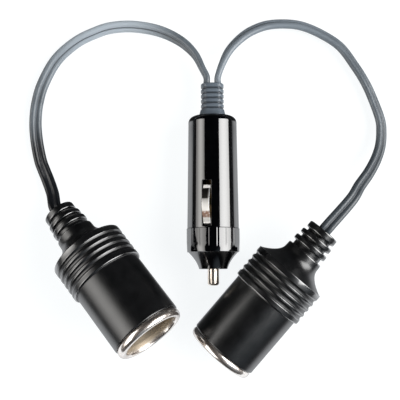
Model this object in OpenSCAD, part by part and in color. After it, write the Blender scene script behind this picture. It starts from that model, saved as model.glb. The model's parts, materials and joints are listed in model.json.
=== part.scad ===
/* [Plug] */
// Length of the plug body, from its rear edge to the seam with the nose cap
body_len = 44.5; // [42:0.5:50]
// Radius of the plug body at its rear
body_rear_r = 9.6; // [9.4:0.1:9.9]
// Radius of the plug body at the seam
body_front_r = 10.15; // [9.9:0.05:10.3]
// Rounding of the body's rear edge
body_round = 2.6; // [1.5:0.1:3]
// Radius of the nose cap's ring
cap_ring_r = 10.45; // [10.2:0.05:10.6]
// Length of the nose cap's ring
cap_ring_len = 9.4; // [7:0.1:10]
// Length of the hollow-curved cone in front of the ring
cap_cone_len = 6.5; // [6:0.1:8.5]
// Radius of the flat end of the nose
cap_end_r = 5.55; // [5.2:0.05:6]
// Radius of the screwed spigot of the nose cap
spigot_r = 6.5; // [6:0.1:7]
// Length of the screwed spigot
spigot_len = 7.4; // [6:0.1:9]
// Radius of the centre pin
pin_r = 2.25; // [1.8:0.05:2.6]
// How far the centre pin stands out of the nose
pin_out = 6.4; // [5:0.1:8]

/* [Fuse] */
// Length of the glass fuse
fuse_len = 31.8; // [28:0.1:32]
// Radius of the fuse's end caps
fuse_r = 3.17; // [2.6:0.01:3.2]
// Length of each fuse end cap
fuse_cap_len = 6.2; // [5:0.1:7]
// Radius of the fuse wire
fuse_wire_r = 0.15; // [0.1:0.05:0.3]

/* [Side contacts] */
// Width of the slot that each side contact bows out of
slot_w = 3.6; // [3.2:0.1:4.4]
// Length of the slot
slot_len = 17.8; // [17:0.1:20]
// Width of the spring strip
strip_w = 2.8; // [2.2:0.1:3]
// Thickness of the spring strip
strip_t = 0.4; // [0.3:0.05:0.6]
// How far the bow stands above the plug body
bow_h = 1.8; // [1.2:0.1:2.2]

/* [Strain relief of the plug] */
// Length of the boot behind the plug body
boot_len = 13.3; // [10:0.1:16]
// Width of the boot
boot_w = 9.1; // [8.4:0.1:9.6]
// Depth of the boot over its two flats
boot_h = 7.6; // [7:0.1:8.4]
// Number of grooves round the boot
boot_grooves = 5; // [3:1:5]

/* [Sockets] */
// Radius of the socket barrel
barrel_r = 14.05; // [13.8:0.05:15]
// Length of the barrel, from the last grip rib to the mouth
barrel_len = 25.7; // [22:0.1:34]
// Radius of the grip ribs
rib_r = 15.05; // [14.9:0.05:16]
// Length of the ribbed grip
grip_len = 14.2; // [13:0.1:18]
// Number of grooves in the grip
grip_grooves = 4; // [3:1:4]
// Length of the hollow-curved neck behind the grip
neck_len = 6.7; // [6:0.1:9]
// Radius of the neck where it meets the strain relief
neck_r = 7.8; // [7.6:0.1:8.4]
// Length of the strain relief with its collar
relief_len = 13.6; // [12:0.1:18]
// Radius of the last rib of the strain relief
relief_r = 6.4; // [6.2:0.1:7]
// Inner radius of the metal liner, which takes a plug
liner_r = 10.65; // [10.5:0.05:10.8]
// Wall of the metal liner
liner_wall = 0.7; // [0.5:0.05:0.9]
// Depth from the rim to the insulating disc
liner_depth = 36; // [32:0.5:42]
// How far the rolled rim stands out of the housing
rim_out = 3.2; // [2.4:0.1:3.6]
// Outer radius of the rolled rim
rim_r = 13.85; // [13.4:0.05:14]

/* [Cords] */
// Radius of one lobe of the flat twin cord
cord_lobe_r = 1.3; // [1.1:0.05:1.5]
// Half thickness of the cord at its groove
cord_waist = 0.72; // [0.5:0.02:0.9]

/* [Places] */
// Rear end of the plug's axis, left to right
plug_x = 9.1; // [5:0.1:15]
// Rear end of the plug's axis, front to back
plug_y = 44.2; // [40:0.1:50]
// Direction of the plug's nose, seen from above
plug_turn = -89.74; // [-95:0.01:-85]
// Roll of the plug about its axis
plug_roll = 15; // [0:0.5:20]
// Last grip rib of the left socket, left to right
left_x = -31.3; // [-36:0.1:-28]
// Last grip rib of the left socket, front to back
left_y = -19.2; // [-24:0.1:-14]
// Direction of the left socket's mouth, seen from above
left_turn = -50.75; // [-55:0.05:-45]
// Rise of the left socket's mouth
left_tilt = 17.1; // [14:0.1:18]
// Last grip rib of the right socket, left to right
right_x = 30; // [27:0.1:34]
// Last grip rib of the right socket, front to back
right_y = -27.4; // [-30:0.1:-24]
// Direction of the right socket's mouth, seen from above
right_turn = -130.4; // [-135:0.1:-125]

/* [Hidden] */
$fn = 72;

// Overrun of every cut past the face that it opens
over = 0.5;
// Gap between parts that slide or screw in each other
run_gap = 0.12;
// Gap round parts that are held in a moulding
seat_gap = 0.05;

// Nose cap
cap_rear_z = body_len;
cap_ring_z = cap_rear_z + cap_ring_len;
cap_end_z = cap_ring_z + cap_cone_len;
cap_edge = 0.5;
cap_draft = 0.25;
cap_band_share = 0.6;
cap_wall = 1.3;
cone_steps = 9;
cone_curve_share = 1.8;
cap_bore_share = 1.1;
cap_bore_r = cap_bore_share * fuse_r;
thread_land = 1.2;

// Centre pin, pushed against the inside of the nose by the fuse and its spring
flange_t = 1.4;
flange_r = cap_bore_r - run_gap;
flange_z = cap_end_z - cap_wall - flange_t;
pin_round = 1.1;
pin_tip_z = cap_end_z + pin_out;

// Fuse and the spring behind it
fuse_front_z = flange_z;
fuse_rear_z = fuse_front_z - fuse_len;
fuse_bore_r = cap_bore_r;
glass_share = 0.93;
glass_r = glass_share * fuse_r;
glass_wall = 0.7;
cap_sheet = 0.3;
spring_wire_r = 0.32;
spring_coil_r = 2.4;
spring_turns = 7;
contact_t = 1;
contact_share = 0.34;
contact_z = contact_share * body_len;
spring_rear_z = contact_z + contact_t + run_gap;
spring_front_z = fuse_rear_z - run_gap;
spring_rings = 12 * spring_turns + 1;

// Rear chamber of the plug body
rear_wall = 2.2;
chamber_r = body_rear_r - rear_wall;
chamber_front_z = contact_z;
collar_t = 2.4;

// Slots, spring strips and the strap that joins them
slot_bridge = 0.4;
slot_end_z = body_len - slot_bridge;
slot_z = slot_end_z - slot_len;
strip_front_gap = 0.7;
strip_rear_gap = 1.8;
strip_front_z = slot_end_z - strip_front_gap;
strip_rear_z = slot_z + strip_rear_gap;
crest_r = body_front_r + bow_h;
strip_sunk = 0.55;
strip_end_r = body_front_r - strip_sunk;
strip_curl = 0.9;
// Points of the curled rear end and of the bent front end, as shares of the curl
curl_tip_share = 1.6;
curl_low_share = 0.8;
curl_high_share = 0.2;
curl_rise_share = 0.3;
strip_steps = 14;
strap_gap = 0.18;
arm_wall = 0.63;
joggle_h = 2.4;
joggle_len = 2.5;
arm_front_r = spigot_r + run_gap + arm_wall;
arm_rear_r = arm_front_r - joggle_h;
arm_t = strip_t;
strip_root_r = arm_front_r + arm_t + strap_gap;
pocket_front_r = arm_front_r - seat_gap;
pocket_rear_r = arm_rear_r - seat_gap;
joggle_z = cap_rear_z - spigot_len - thread_land - joggle_len;
strap_room = 0.2;
strap_z = rear_wall + collar_t + strap_room;

// Boot and the leads inside it
boot_flare = 0.75;
groove_pitch = 2;
groove_w = 0.9;
groove_deep = 0.4;
boot_groove_z = 1.6;
lead_r = cord_lobe_r;
lead_x = boot_w / 4;
solder_run = 7.4;
solder_z = rear_wall + solder_run;

// Grip, neck and strain relief of a socket, measured from the last grip rib
grip_pitch_share = 0.187;
grip_pitch = grip_len * grip_pitch_share;
grip_first_share = 1.1;
grip_first = grip_first_share * grip_pitch;
rib_groove = 0.55;
rib_half_share = 0.36;
rib_half = rib_half_share * grip_pitch;
shoulder_round = 0.6;
neck_z = -grip_len - neck_len;
neck_top_r = rib_r - shoulder_round;
neck_steps = 9;
relief_z = neck_z - relief_len;
// Start and end of each solid band of the strain relief, as shares of its length from the neck
relief_from_shares = [0, 0.31, 0.56, 0.80];
relief_to_shares = [0.17, 0.47, 0.71, 1];
// Radii of the bands and of the core between them, as shares of the last rib's radius
relief_band_shares = [1.2, 1.155, 1.09, 1];
relief_core_shares = [0.97, 0.87, 0.81];
relief_soft = 0.35;
mouth_round = 0.7;
mouth_corner_share = 0.3;
housing_bore_r = liner_r + liner_wall;

// Liner, disc, contact and lugs of a socket
rim_z = barrel_len + rim_out;
disc_z = rim_z - liner_depth;
disc_t = 1.8;
// The liner is necked in behind the bore, and the disc sits in the neck
liner_neck = 0.35;
neck_cone = 0.7;
neck_room = 0.2;
rim_seat_gap = 0.02;
rim_bead = 1.15;
rim_flare = 0.75;
rim_mouth_r = liner_r + rim_flare;
bead_steps = 6;
button_r = 4.2;
button_h = 1.3;
rivet_r = 1.25;
rivet_head_r = 2.3;
rivet_head_t = 0.7;
bore_z = disc_z + button_h + rivet_head_t + neck_room;
lug_t = 0.6;
lug_w = 3.2;
back_room = 3.4;
lug_x = cord_lobe_r;
ground_lug_x = -cord_lobe_r;
room_z = disc_z - disc_t - back_room;
liner_ledge = 0.25;
lug_room_r = housing_bore_r - liner_ledge;

// Cord section and route
cord_rings = 38;
// Angles of the points of one lobe
lobe_angles = [-120, -60, 0, 60, 120];
cord_section = concat(
    [for (a = lobe_angles) [cord_lobe_r * (1 + cos(a)), cord_lobe_r * sin(a)]],
    [[0, cord_waist]],
    [for (a = lobe_angles) [-cord_lobe_r * (1 + cos(a)), -cord_lobe_r * sin(a)]],
    [[0, -cord_waist]]);
end_run = 3;

// Resting heights of the three axes
crest_drop = crest_r * cos(plug_roll) + strip_w / 2 * sin(plug_roll);
plug_tilt = asin((crest_drop - body_rear_r) / (crest_z() - body_round));
plug_z = body_rear_r * cos(plug_tilt) - body_round * sin(plug_tilt);
right_tilt = -asin((rib_r - barrel_r) / (barrel_len - mouth_round));
right_z = rib_r * cos(right_tilt) - rib_groove / 2 * sin(right_tilt);
left_z = rib_r * cos(left_tilt) + (grip_len - shoulder_round) * sin(left_tilt);

function crest_z() = (strip_front_z + strip_rear_z) / 2;

// Direction of an axis from its turn and tilt, and the sideways and upward directions round it
function aim(turn, tilt) = [cos(turn) * cos(tilt), sin(turn) * cos(tilt), sin(tilt)];
function aim_side(turn) = [-sin(turn), cos(turn), 0];
function aim_up(turn, tilt) = cross(aim(turn, tilt), aim_side(turn));

// Points of the routes: place and twist of the wide side, where 90 stands on edge
plug_rear = [plug_x, plug_y, plug_z] - boot_len * aim(plug_turn, plug_tilt);
plug_back = -aim(plug_turn, plug_tilt);
left_rear = [left_x, left_y, left_z] + relief_z * aim(left_turn, left_tilt);
left_back = -aim(left_turn, left_tilt);
right_rear = [right_x, right_y, right_z] + relief_z * aim(right_turn, right_tilt);
right_back = -aim(right_turn, right_tilt);

left_exit = plug_rear - lead_x * aim_side(plug_turn);
right_exit = plug_rear + lead_x * aim_side(plug_turn);

left_route = [
    [5, 64.1, 8, 90], [2.5, 69.1, 7.5, 80], [-1.5, 73.6, 6.8, 66], [-6.5, 77.1, 6, 58],
    [-12.5, 79.8, 5.2, 52], [-19, 81.4, 4.4, 50], [-25.5, 82.1, 3.6, 50], [-32.5, 81.6, 3, 50],
    [-38.5, 79.8, 2.6, 50], [-46.5, 75.8, 2.5, 50], [-54.5, 68.6, 2.4, 45], [-59.8, 59.1, 2.4, 42],
    [-62.2, 51.1, 2.3, 40], [-63, 43.3, 2.2, 35], [-62.5, 35.6, 2, 28], [-61, 27.8, 1.9, 20],
    [-59.5, 23.6, 2, 14], [-57.8, 19.6, 2.4, 8], [-55.4, 13.8, 4.6, 0]];
right_route = [
    [13.2, 66.1, 8, 80], [15.9, 71.4, 7.4, 66], [20, 76, 6.7, 58], [24.7, 79.5, 6, 52],
    [31, 82.1, 5.2, 50], [38.3, 82.9, 4.5, 50], [45.6, 82.2, 3.8, 50], [53.5, 79.1, 3.2, 50],
    [61.4, 74, 2.7, 50], [67.4, 66.1, 2.5, 50], [71.3, 59.8, 2.5, 50], [74.2, 53.6, 2.5, 48],
    [77.4, 44.4, 3, 44], [77.8, 38.6, 3.7, 40], [77, 32.9, 4.9, 36], [74.8, 27.4, 6.8, 32],
    [71.4, 21.9, 9.2, 28], [67.2, 16.6, 12, 22], [63.3, 11, 14.6, 14]];

function lift(point, way, run, twist) =
    [point[0] + run * way[0], point[1] + run * way[1], point[2] + run * way[2], twist];
left_path = concat(
    [lift(left_exit, plug_back, 0, 90), lift(left_exit, plug_back, end_run, 90)], left_route,
    [lift(left_rear, left_back, end_run, 0), lift(left_rear, left_back, 0, 0)]);
right_path = concat(
    [lift(right_exit, plug_back, 0, 90), lift(right_exit, plug_back, end_run, 90)], right_route,
    [lift(right_rear, right_back, end_run, 0), lift(right_rear, right_back, 0, 0)]);

// A smooth curve through the points, and its direction
function at(points, i) = points[max(0, min(len(points) - 1, i))];
function curve(points, t) = let (
    i = min(floor(t), len(points) - 2),
    u = t - i,
    a = at(points, i - 1),
    b = at(points, i),
    c = at(points, i + 1),
    d = at(points, i + 2))
    b + (c - a) * u / 2
    + (2 * a - 5 * b + 4 * c - d) * u * u / 2
    + (3 * b - a - 3 * c + d) * u * u * u / 2;
function place_of(p) = [p[0], p[1], p[2]];
function unit(v) = v / norm(v);

// Rings along a curve: the ends stand square to the first and last stretch
function ring_way(points, t, step) = unit(place_of(
    curve(points, min(t + step, len(points) - 1)) - curve(points, max(t - step, 0))));
function ring(section, p, way) = let (
    side = unit(cross(way, [0, 0, 1])),
    up = cross(side, way),
    wide = side * cos(p[3]) + up * sin(p[3]),
    thin = cross(way, wide))
    [for (s = section) place_of(p) + s[0] * wide + s[1] * thin];

module swept(points, section, rings) {
    last = len(points) - 1;
    sides = len(section);
    step = last / (rings - 1);
    ways = [for (i = [0 : rings - 1])
        i == 0 ? unit(place_of(points[1] - points[0])) :
        i == rings - 1 ? unit(place_of(points[last] - points[last - 1])) :
        ring_way(points, i * step, step / 4)];
    all_points = [for (i = [0 : rings - 1]) each ring(section, curve(points, i * step), ways[i])];
    walls = [for (i = [0 : rings - 2]) for (j = [0 : sides - 1])
        let (k = (j + 1) % sides)
        each [[i * sides + j, i * sides + k, (i + 1) * sides + j],
            [i * sides + k, (i + 1) * sides + k, (i + 1) * sides + j]]];
    half = sides / 2;
    first_end = end_faces(0, half, true);
    last_end = end_faces((rings - 1) * sides, half, false);
    polyhedron(all_points, concat(walls, first_end, last_end));
}

// The two lobes of an end are closed by fans that share the groove's two points
function end_faces(base, half, flip) = let (
    right = [2 * half - 1, each [for (i = [0 : half - 1]) i]],
    left = [for (i = [half - 1 : 2 * half - 1]) i],
    fan = function (loop) [for (i = [1 : len(loop) - 2]) [loop[0], loop[i], loop[i + 1]]])
    [for (f = concat(fan(right), fan(left)))
        flip ? [base + f[0], base + f[2], base + f[1]] : [base + f[0], base + f[1], base + f[2]]];

module on_axis(x, y, z, turn, tilt, roll) {
    translate([x, y, z])
    rotate([0, 90 - tilt, turn])
    rotate([0, 0, roll])
    children();
}

// The plug stands on its rear edge and on the crest of its lower side contact
module on_plug() on_axis(plug_x, plug_y, plug_z, plug_turn, plug_tilt, plug_roll) children();
module on_plug_upright() on_axis(plug_x, plug_y, plug_z, plug_turn, plug_tilt, 0) children();
module on_left() on_axis(left_x, left_y, left_z, left_turn, left_tilt, 0) children();
module on_right() on_axis(right_x, right_y, right_z, right_turn, right_tilt, 0) children();

// Turned shape of a list of points given as radius and height
module turned(points) rotate_extrude($fn = 96) polygon(points);

// A flat strip drawn as an outline, standing on the side that faces up
module strip(outline, w) rotate([90, 0, 0]) translate([0, 0, -w / 2]) linear_extrude(w) polygon(outline);

// Profile of the cone: the radius falls quickly at first and then slowly
cone_rear_r = cap_ring_r - cap_draft - cap_edge;
function cone_r(t) = cap_end_r + (cone_rear_r - cap_end_r) * pow(1 - t, cone_curve_share);
cap_outline = concat(
    [[cap_bore_r, cap_rear_z - spigot_len], [spigot_r, cap_rear_z - spigot_len],
        [spigot_r, cap_rear_z], [cap_ring_r, cap_rear_z],
        [cap_ring_r, cap_rear_z + cap_ring_len * cap_band_share],
        [cap_ring_r - cap_draft, cap_ring_z - cap_edge]],
    [for (i = [0 : cone_steps]) [cone_r(i / cone_steps), cap_ring_z + cap_cone_len * i / cone_steps]],
    [[pin_r + run_gap, cap_end_z], [pin_r + run_gap, cap_end_z - cap_wall],
        [cap_bore_r, cap_end_z - cap_wall]]);

module nose_cap() color("#141518") on_plug() turned(cap_outline);

pin_outline = concat(
    [[0, flange_z], [flange_r, flange_z], [flange_r, flange_z + flange_t], [pin_r, flange_z + flange_t],
        [pin_r, pin_tip_z - pin_round]],
    [for (a = [15 : 15 : 75]) [pin_r - pin_round * (1 - cos(a)), pin_tip_z - pin_round * (1 - sin(a))]],
    [[pin_r - pin_round, pin_tip_z], [0, pin_tip_z]]);

module centre_pin() color("#c9c6bf") on_plug() turned(pin_outline);

module fuse_glass() color("#cfd8da") on_plug() difference() {
    translate([0, 0, fuse_rear_z + cap_sheet])
    cylinder(r = glass_r, h = fuse_len - 2 * cap_sheet);
    translate([0, 0, fuse_rear_z + cap_sheet - over])
    cylinder(r = glass_r - glass_wall, h = fuse_len - 2 * cap_sheet + 2 * over);
}

module fuse_cup() difference() {
    cylinder(r = fuse_r, h = fuse_cap_len);
    translate([0, 0, cap_sheet])
    cylinder(r = glass_r, h = fuse_cap_len);
}

module fuse_caps() color("#d8d8d8") on_plug() {
    translate([0, 0, fuse_rear_z]) fuse_cup();
    translate([0, 0, fuse_front_z]) mirror([0, 0, 1]) fuse_cup();
}

module fuse_wire() color("#b9bcc0") on_plug()
    translate([0, 0, fuse_rear_z + cap_sheet])
    cylinder(r = fuse_wire_r, h = fuse_len - 2 * cap_sheet, $fn = 24);

// Coil spring that pushes the fuse and the pin forward
spring_section = [for (a = [0 : 60 : 300]) [spring_wire_r * cos(a), spring_wire_r * sin(a)]];
spring_rise = spring_front_z - spring_rear_z - 2 * spring_wire_r;
function coil_point(i) = let (
    turn = 360 * spring_turns * i / (spring_rings - 1),
    rise = spring_rise * i / (spring_rings - 1))
    [spring_coil_r * cos(turn), spring_coil_r * sin(turn), spring_rear_z + spring_wire_r + rise];
function coil_ring(i) = let (
    turn = 360 * spring_turns * i / (spring_rings - 1),
    out = [cos(turn), sin(turn), 0])
    [for (s = spring_section) coil_point(i) + s[0] * out + [0, 0, s[1]]];
coil_gap = spring_rise / spring_turns - 2 * spring_wire_r;
echo(str("Least gap between the turns of the spring: ", coil_gap));

module pin_spring() color("#a9adb2") on_plug() {
    sides = len(spring_section);
    points = [for (i = [0 : spring_rings - 1]) each coil_ring(i)];
    walls = [for (i = [0 : spring_rings - 2]) for (j = [0 : sides - 1])
        let (k = (j + 1) % sides)
        each [[i * sides + j, (i + 1) * sides + j, i * sides + k],
            [i * sides + k, (i + 1) * sides + j, (i + 1) * sides + k]]];
    first_end = [for (j = [1 : sides - 2]) [0, j, j + 1]];
    base = (spring_rings - 1) * sides;
    last_end = [for (j = [1 : sides - 2]) [base, base + j + 1, base + j]];
    polyhedron(points, concat(walls, first_end, last_end));
}

// Brass seat of the spring, with the tab that the positive leads are soldered to
tab_w = 2 * lead_x + lead_r;
tab_h = 2 * lead_r;
tab_t = 0.6;
module rear_contact() color("#c2a35a") {
    on_plug() translate([0, 0, contact_z]) cylinder(r = fuse_bore_r - seat_gap, h = contact_t);
    on_plug_upright() {
        translate([-lead_r - tab_h / 2, -tab_w / 2, solder_z]) cube([tab_h, tab_w, tab_t]);
        translate([-lead_r, 0, solder_z]) cylinder(r = lead_r / 2, h = contact_z + contact_t / 2 - solder_z);
    }
}

// Body: a tapered tube with a bore for the fuse, one for the spigot, a rear chamber and two slots
body_outline = concat(
    [[0, 0], [body_rear_r - body_round, 0]],
    [for (a = [15 : 15 : 75]) [body_rear_r - body_round * (1 - sin(a)), body_round * (1 - cos(a))]],
    [[body_rear_r, body_round], [body_front_r, body_len], [0, body_len]]);

module slot_cut() {
    translate([pocket_front_r, -slot_w / 2, slot_z])
    cube([crest_r, slot_w, slot_len]);
    translate([pocket_rear_r, -slot_w / 2, strap_z])
    cube([arm_front_r - arm_rear_r + arm_t, slot_w, joggle_z + joggle_len - strap_z]);
    translate([pocket_rear_r, -slot_w / 2, slot_z])
    cube([crest_r, slot_w, joggle_z + joggle_len - slot_z]);
}

module plug_body() color("#15161a") difference() {
    on_plug() turned(body_outline);
    on_plug() {
        translate([0, 0, chamber_front_z - over])
        cylinder(r = fuse_bore_r, h = body_len);
        translate([0, 0, cap_rear_z - spigot_len - thread_land])
        cylinder(r = spigot_r + run_gap, h = body_len);
        translate([0, 0, rear_wall])
        cylinder(r = chamber_r, h = chamber_front_z - rear_wall);
        slot_cut();
        rotate([0, 0, 180]) slot_cut();
    }
    on_plug_upright() translate([0, 0, -over]) linear_extrude(rear_wall + 2 * over) boot_section(seat_gap);
}

// Bowed spring strip: flat ends sunk in the slot, a smooth bow between them and a curled rear end
function bow_r(t) = strip_end_r + (crest_r - strip_end_r) * sin(180 * t);
function bow_z(t) = strip_rear_z + strip_curl + (strip_front_z - strip_curl - strip_rear_z - strip_curl) * t;
strip_line = concat(
    [[strip_end_r - curl_tip_share * strip_curl, strip_rear_z + curl_rise_share * strip_curl],
        [strip_end_r - curl_low_share * strip_curl, strip_rear_z],
        [strip_end_r - curl_high_share * strip_curl, strip_rear_z + strip_t]],
    [for (i = [0 : strip_steps]) [bow_r(i / strip_steps), bow_z(i / strip_steps)]],
    [[strip_end_r - curl_rise_share * strip_curl, strip_front_z - strip_t / 2],
        [strip_root_r, strip_front_z]]);
// Normal to the strip at each of its points, and the outline of its thickness
function strip_normal(line, i) = let (
    d = line[min(i + 1, len(line) - 1)] - line[max(i - 1, 0)])
    [d[1], -d[0]] / norm(d);
function strip_outline(line, t) = concat(line,
    [for (i = [len(line) - 1 : -1 : 0]) line[i] - t * strip_normal(line, i)]);

module side_contact() strip(strip_outline(strip_line, strip_t), strip_w);
module upper_side_contact() color("#cdc6b8") on_plug() rotate([0, 0, 180]) side_contact();
module lower_side_contact() color("#cdc6b8") on_plug() side_contact();

// Strap: a cross plate behind with a pad under the negative leads, and an arm along each slot
// that ends at the root of its strip
arm_line = [
    [arm_rear_r + arm_t, strap_z], [arm_rear_r + arm_t, joggle_z],
    [arm_front_r + arm_t, joggle_z + joggle_len], [arm_front_r + arm_t, strip_front_z]];
module ground_strap() color("#c2a35a") {
    on_plug() for (side = [0, 180]) rotate([0, 0, side]) strip(strip_outline(arm_line, arm_t), strip_w);
    difference() {
        union() {
            on_plug() translate([-arm_rear_r - arm_t / 2, -strip_w / 2, strap_z])
            cube([2 * arm_rear_r + arm_t, strip_w, arm_t]);
            on_plug_upright() translate([0, -tab_w / 2, strap_z])
            cube([tab_h, tab_w, arm_t]);
        }
        on_plug_upright() for (side = [-1, 1]) translate([-lead_r, side * lead_x, 0])
            cylinder(r = lead_r + run_gap, h = body_len, $fn = 48);
    }
}

// Outline of the boot: a circle with a flat above and below
module boot_section(grow) intersection() {
    circle(r = boot_w / 2 + grow, $fn = 96);
    square([boot_h + 2 * grow, boot_w + 2 * grow + over], center = true);
}

module boot_leads(grow) {
    for (side = [-1, 1]) for (rise = [-1, 1])
        translate([rise * lead_r, side * lead_x, -boot_len - over])
        cylinder(r = lead_r + grow, h = boot_len + rear_wall + collar_t + 2 * over, $fn = 48);
}

module plug_boot() color("#34373d") on_plug_upright() difference() {
    union() {
        translate([0, 0, -boot_len]) linear_extrude(boot_len + rear_wall) boot_section(0);
        translate([0, 0, -groove_pitch / 2 - boot_flare])
        linear_extrude(groove_pitch / 2 + boot_flare) boot_section(boot_flare);
        intersection() {
            translate([0, 0, rear_wall]) linear_extrude(collar_t - seat_gap) boot_section(boot_flare);
            cylinder(r = chamber_r - seat_gap, h = body_len);
        }
    }
    for (i = [0 : boot_grooves - 1])
        translate([0, 0, -boot_len + boot_groove_z + i * groove_pitch])
        linear_extrude(groove_w) difference() {
            boot_section(over);
            boot_section(-groove_deep);
        }
    boot_leads(seat_gap);
}

module plug_positive_leads() color("#b03a2e") on_plug_upright()
    for (side = [-1, 1])
    translate([-lead_r, side * lead_x, -boot_len])
    cylinder(r = lead_r, h = boot_len + solder_z, $fn = 48);

module plug_negative_leads() color("#1d1e21") on_plug_upright()
    for (side = [-1, 1]) translate([lead_r, side * lead_x, -boot_len])
        cylinder(r = lead_r, h = boot_len + strap_z - run_gap, $fn = 48);

module left_cord() color("#3a3e45") swept(left_path, cord_section, cord_rings);
module right_cord() color("#3a3e45") swept(right_path, cord_section, cord_rings);

// Housing of a socket: barrel, ribbed grip, hollow neck and banded strain relief in one moulding
function neck_r_at(t) = neck_r + (neck_top_r - neck_r) * t * t;
function band(i) = let (
    from = neck_z - relief_len * relief_from_shares[i],
    to = neck_z - relief_len * relief_to_shares[i],
    r = relief_r * relief_band_shares[i])
    concat(i == 0 ? [[neck_r, from]] : [[r - relief_soft, from], [r, from - relief_soft]],
        [[r, to + relief_soft], [r - relief_soft, to]]);
function core(i) = let (
    from = neck_z - relief_len * relief_to_shares[i],
    to = neck_z - relief_len * relief_from_shares[i + 1],
    r = relief_r * relief_core_shares[i])
    [[r, from], [r, to]];
relief_outline = concat(band(0), core(0), band(1), core(1), band(2), core(2), band(3));
grip_outline = concat(
    [[barrel_r, 0], [rib_r - rib_groove / 2, 0], [rib_r, -rib_groove / 2]],
    [for (i = [0 : grip_grooves - 1]) let (z = -grip_first - i * grip_pitch)
        each [[rib_r, z + rib_half], [rib_r - rib_groove, z + rib_half / 3],
            [rib_r - rib_groove, z - rib_half / 3], [rib_r, z - rib_half]]],
    [[rib_r, -grip_len + shoulder_round], [neck_top_r, -grip_len]]);
neck_outline = [for (i = [neck_steps - 1 : -1 : 1])
    [neck_r_at(i / neck_steps), neck_z + neck_len * i / neck_steps]];
housing_outline = concat(
    [[0, barrel_len], [barrel_r - mouth_round, barrel_len],
        [barrel_r - mouth_corner_share * mouth_round, barrel_len - mouth_corner_share * mouth_round],
        [barrel_r, barrel_len - mouth_round]],
    grip_outline, neck_outline, relief_outline, [[0, relief_z]]);

module socket_leads(grow, from, to) {
    for (side = [-1, 1]) translate([0, side * lug_x, from])
        cylinder(r = lead_r + grow, h = to - from, $fn = 48);
}

module housing() difference() {
    turned(housing_outline);
    translate([0, 0, disc_z - disc_t])
    cylinder(r = housing_bore_r + seat_gap, h = liner_depth + over);
    translate([0, 0, room_z])
    cylinder(r = lug_room_r, h = back_room + over);
    socket_leads(seat_gap, relief_z - over, room_z + over);
}

// Liner: a can with a bead rolled over the mouth of the housing and a narrower end round the disc
liner_outline = concat(
    [[liner_r, bore_z], [liner_r - liner_neck, bore_z - neck_cone], [liner_r - liner_neck, disc_z - disc_t],
        [housing_bore_r - liner_neck, disc_z - disc_t], [housing_bore_r - liner_neck, bore_z - neck_cone],
        [housing_bore_r, bore_z],
        [housing_bore_r, barrel_len + rim_seat_gap], [rim_r, barrel_len + rim_seat_gap],
        [rim_r, rim_z - rim_bead]],
    [for (i = [1 : bead_steps - 1]) let (a = 90 * i / bead_steps)
        [rim_r - rim_bead * (1 - cos(a)), rim_z - rim_bead * (1 - sin(a))]],
    [[rim_r - rim_bead, rim_z], [rim_mouth_r + rim_bead / 2, rim_z]],
    [for (i = [1 : bead_steps - 1]) let (a = 90 * i / bead_steps)
        [rim_mouth_r + rim_bead / 2 * (1 - sin(a)), rim_z - rim_bead * (1 - cos(a))]],
    [[rim_mouth_r, rim_z - rim_bead], [liner_r, rim_z - 2 * rim_bead - liner_wall]]);

module liner() turned(liner_outline);

module insulator() difference() {
    translate([0, 0, disc_z - disc_t]) cylinder(r = liner_r - liner_neck - seat_gap, h = disc_t);
    translate([0, 0, disc_z - disc_t - over]) cylinder(r = rivet_r + seat_gap, h = disc_t + 2 * over);
}

// Pressed contact button with a dished rim, held by its rivet
button_outline = [
    [rivet_r + seat_gap, disc_z], [button_r, disc_z], [button_r, disc_z + lug_t],
    [button_r - button_h, disc_z + button_h], [rivet_r + seat_gap, disc_z + button_h]];
module centre_contact() turned(button_outline);

rivet_outline = [
    [0, disc_z - disc_t - lug_t - rivet_head_t], [rivet_head_r, disc_z - disc_t - lug_t - rivet_head_t],
    [rivet_head_r, disc_z - disc_t - lug_t], [rivet_r, disc_z - disc_t - lug_t],
    [rivet_r, disc_z + button_h], [rivet_head_r, disc_z + button_h],
    [rivet_head_r - rivet_head_t / 2, disc_z + button_h + rivet_head_t],
    [0, disc_z + button_h + rivet_head_t]];
module rivet() turned(rivet_outline);

// Tag under the disc, bent back to the end of the positive lead
module positive_lug() difference() {
    union() {
        translate([-lug_w / 2, -lug_w / 2, disc_z - disc_t - lug_t])
        cube([lug_w, lug_w + rivet_head_r + lug_t, lug_t]);
        translate([-lug_w / 2, lug_w / 2 + rivet_head_r, room_z + lug_t])
        cube([lug_w, lug_t, back_room - lug_t]);
        translate([-lug_w / 2, lug_x / 2, room_z + run_gap])
        cube([lug_w, lug_w / 2 + rivet_head_r + lug_t - lug_x / 2, lug_t]);
    }
    translate([0, 0, disc_z - disc_t - lug_t - over])
    cylinder(r = rivet_r + seat_gap, h = lug_t + 2 * over);
}

// Tag from the wall of the liner to the end of the negative lead
module ground_lug() {
    translate([-lug_w / 2, -lug_room_r + run_gap, room_z + run_gap])
    cube([lug_w, lug_room_r - run_gap - lug_x / 2, lug_t]);
    translate([-lug_w / 2, -lug_room_r + run_gap, room_z + run_gap])
    cube([lug_w, lug_t, back_room - run_gap]);
}

module lead() cylinder(r = lead_r, h = room_z - relief_z + run_gap, $fn = 48);
module positive_lead() translate([0, lug_x, relief_z]) lead();
module negative_lead() translate([0, ground_lug_x, relief_z]) lead();

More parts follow.
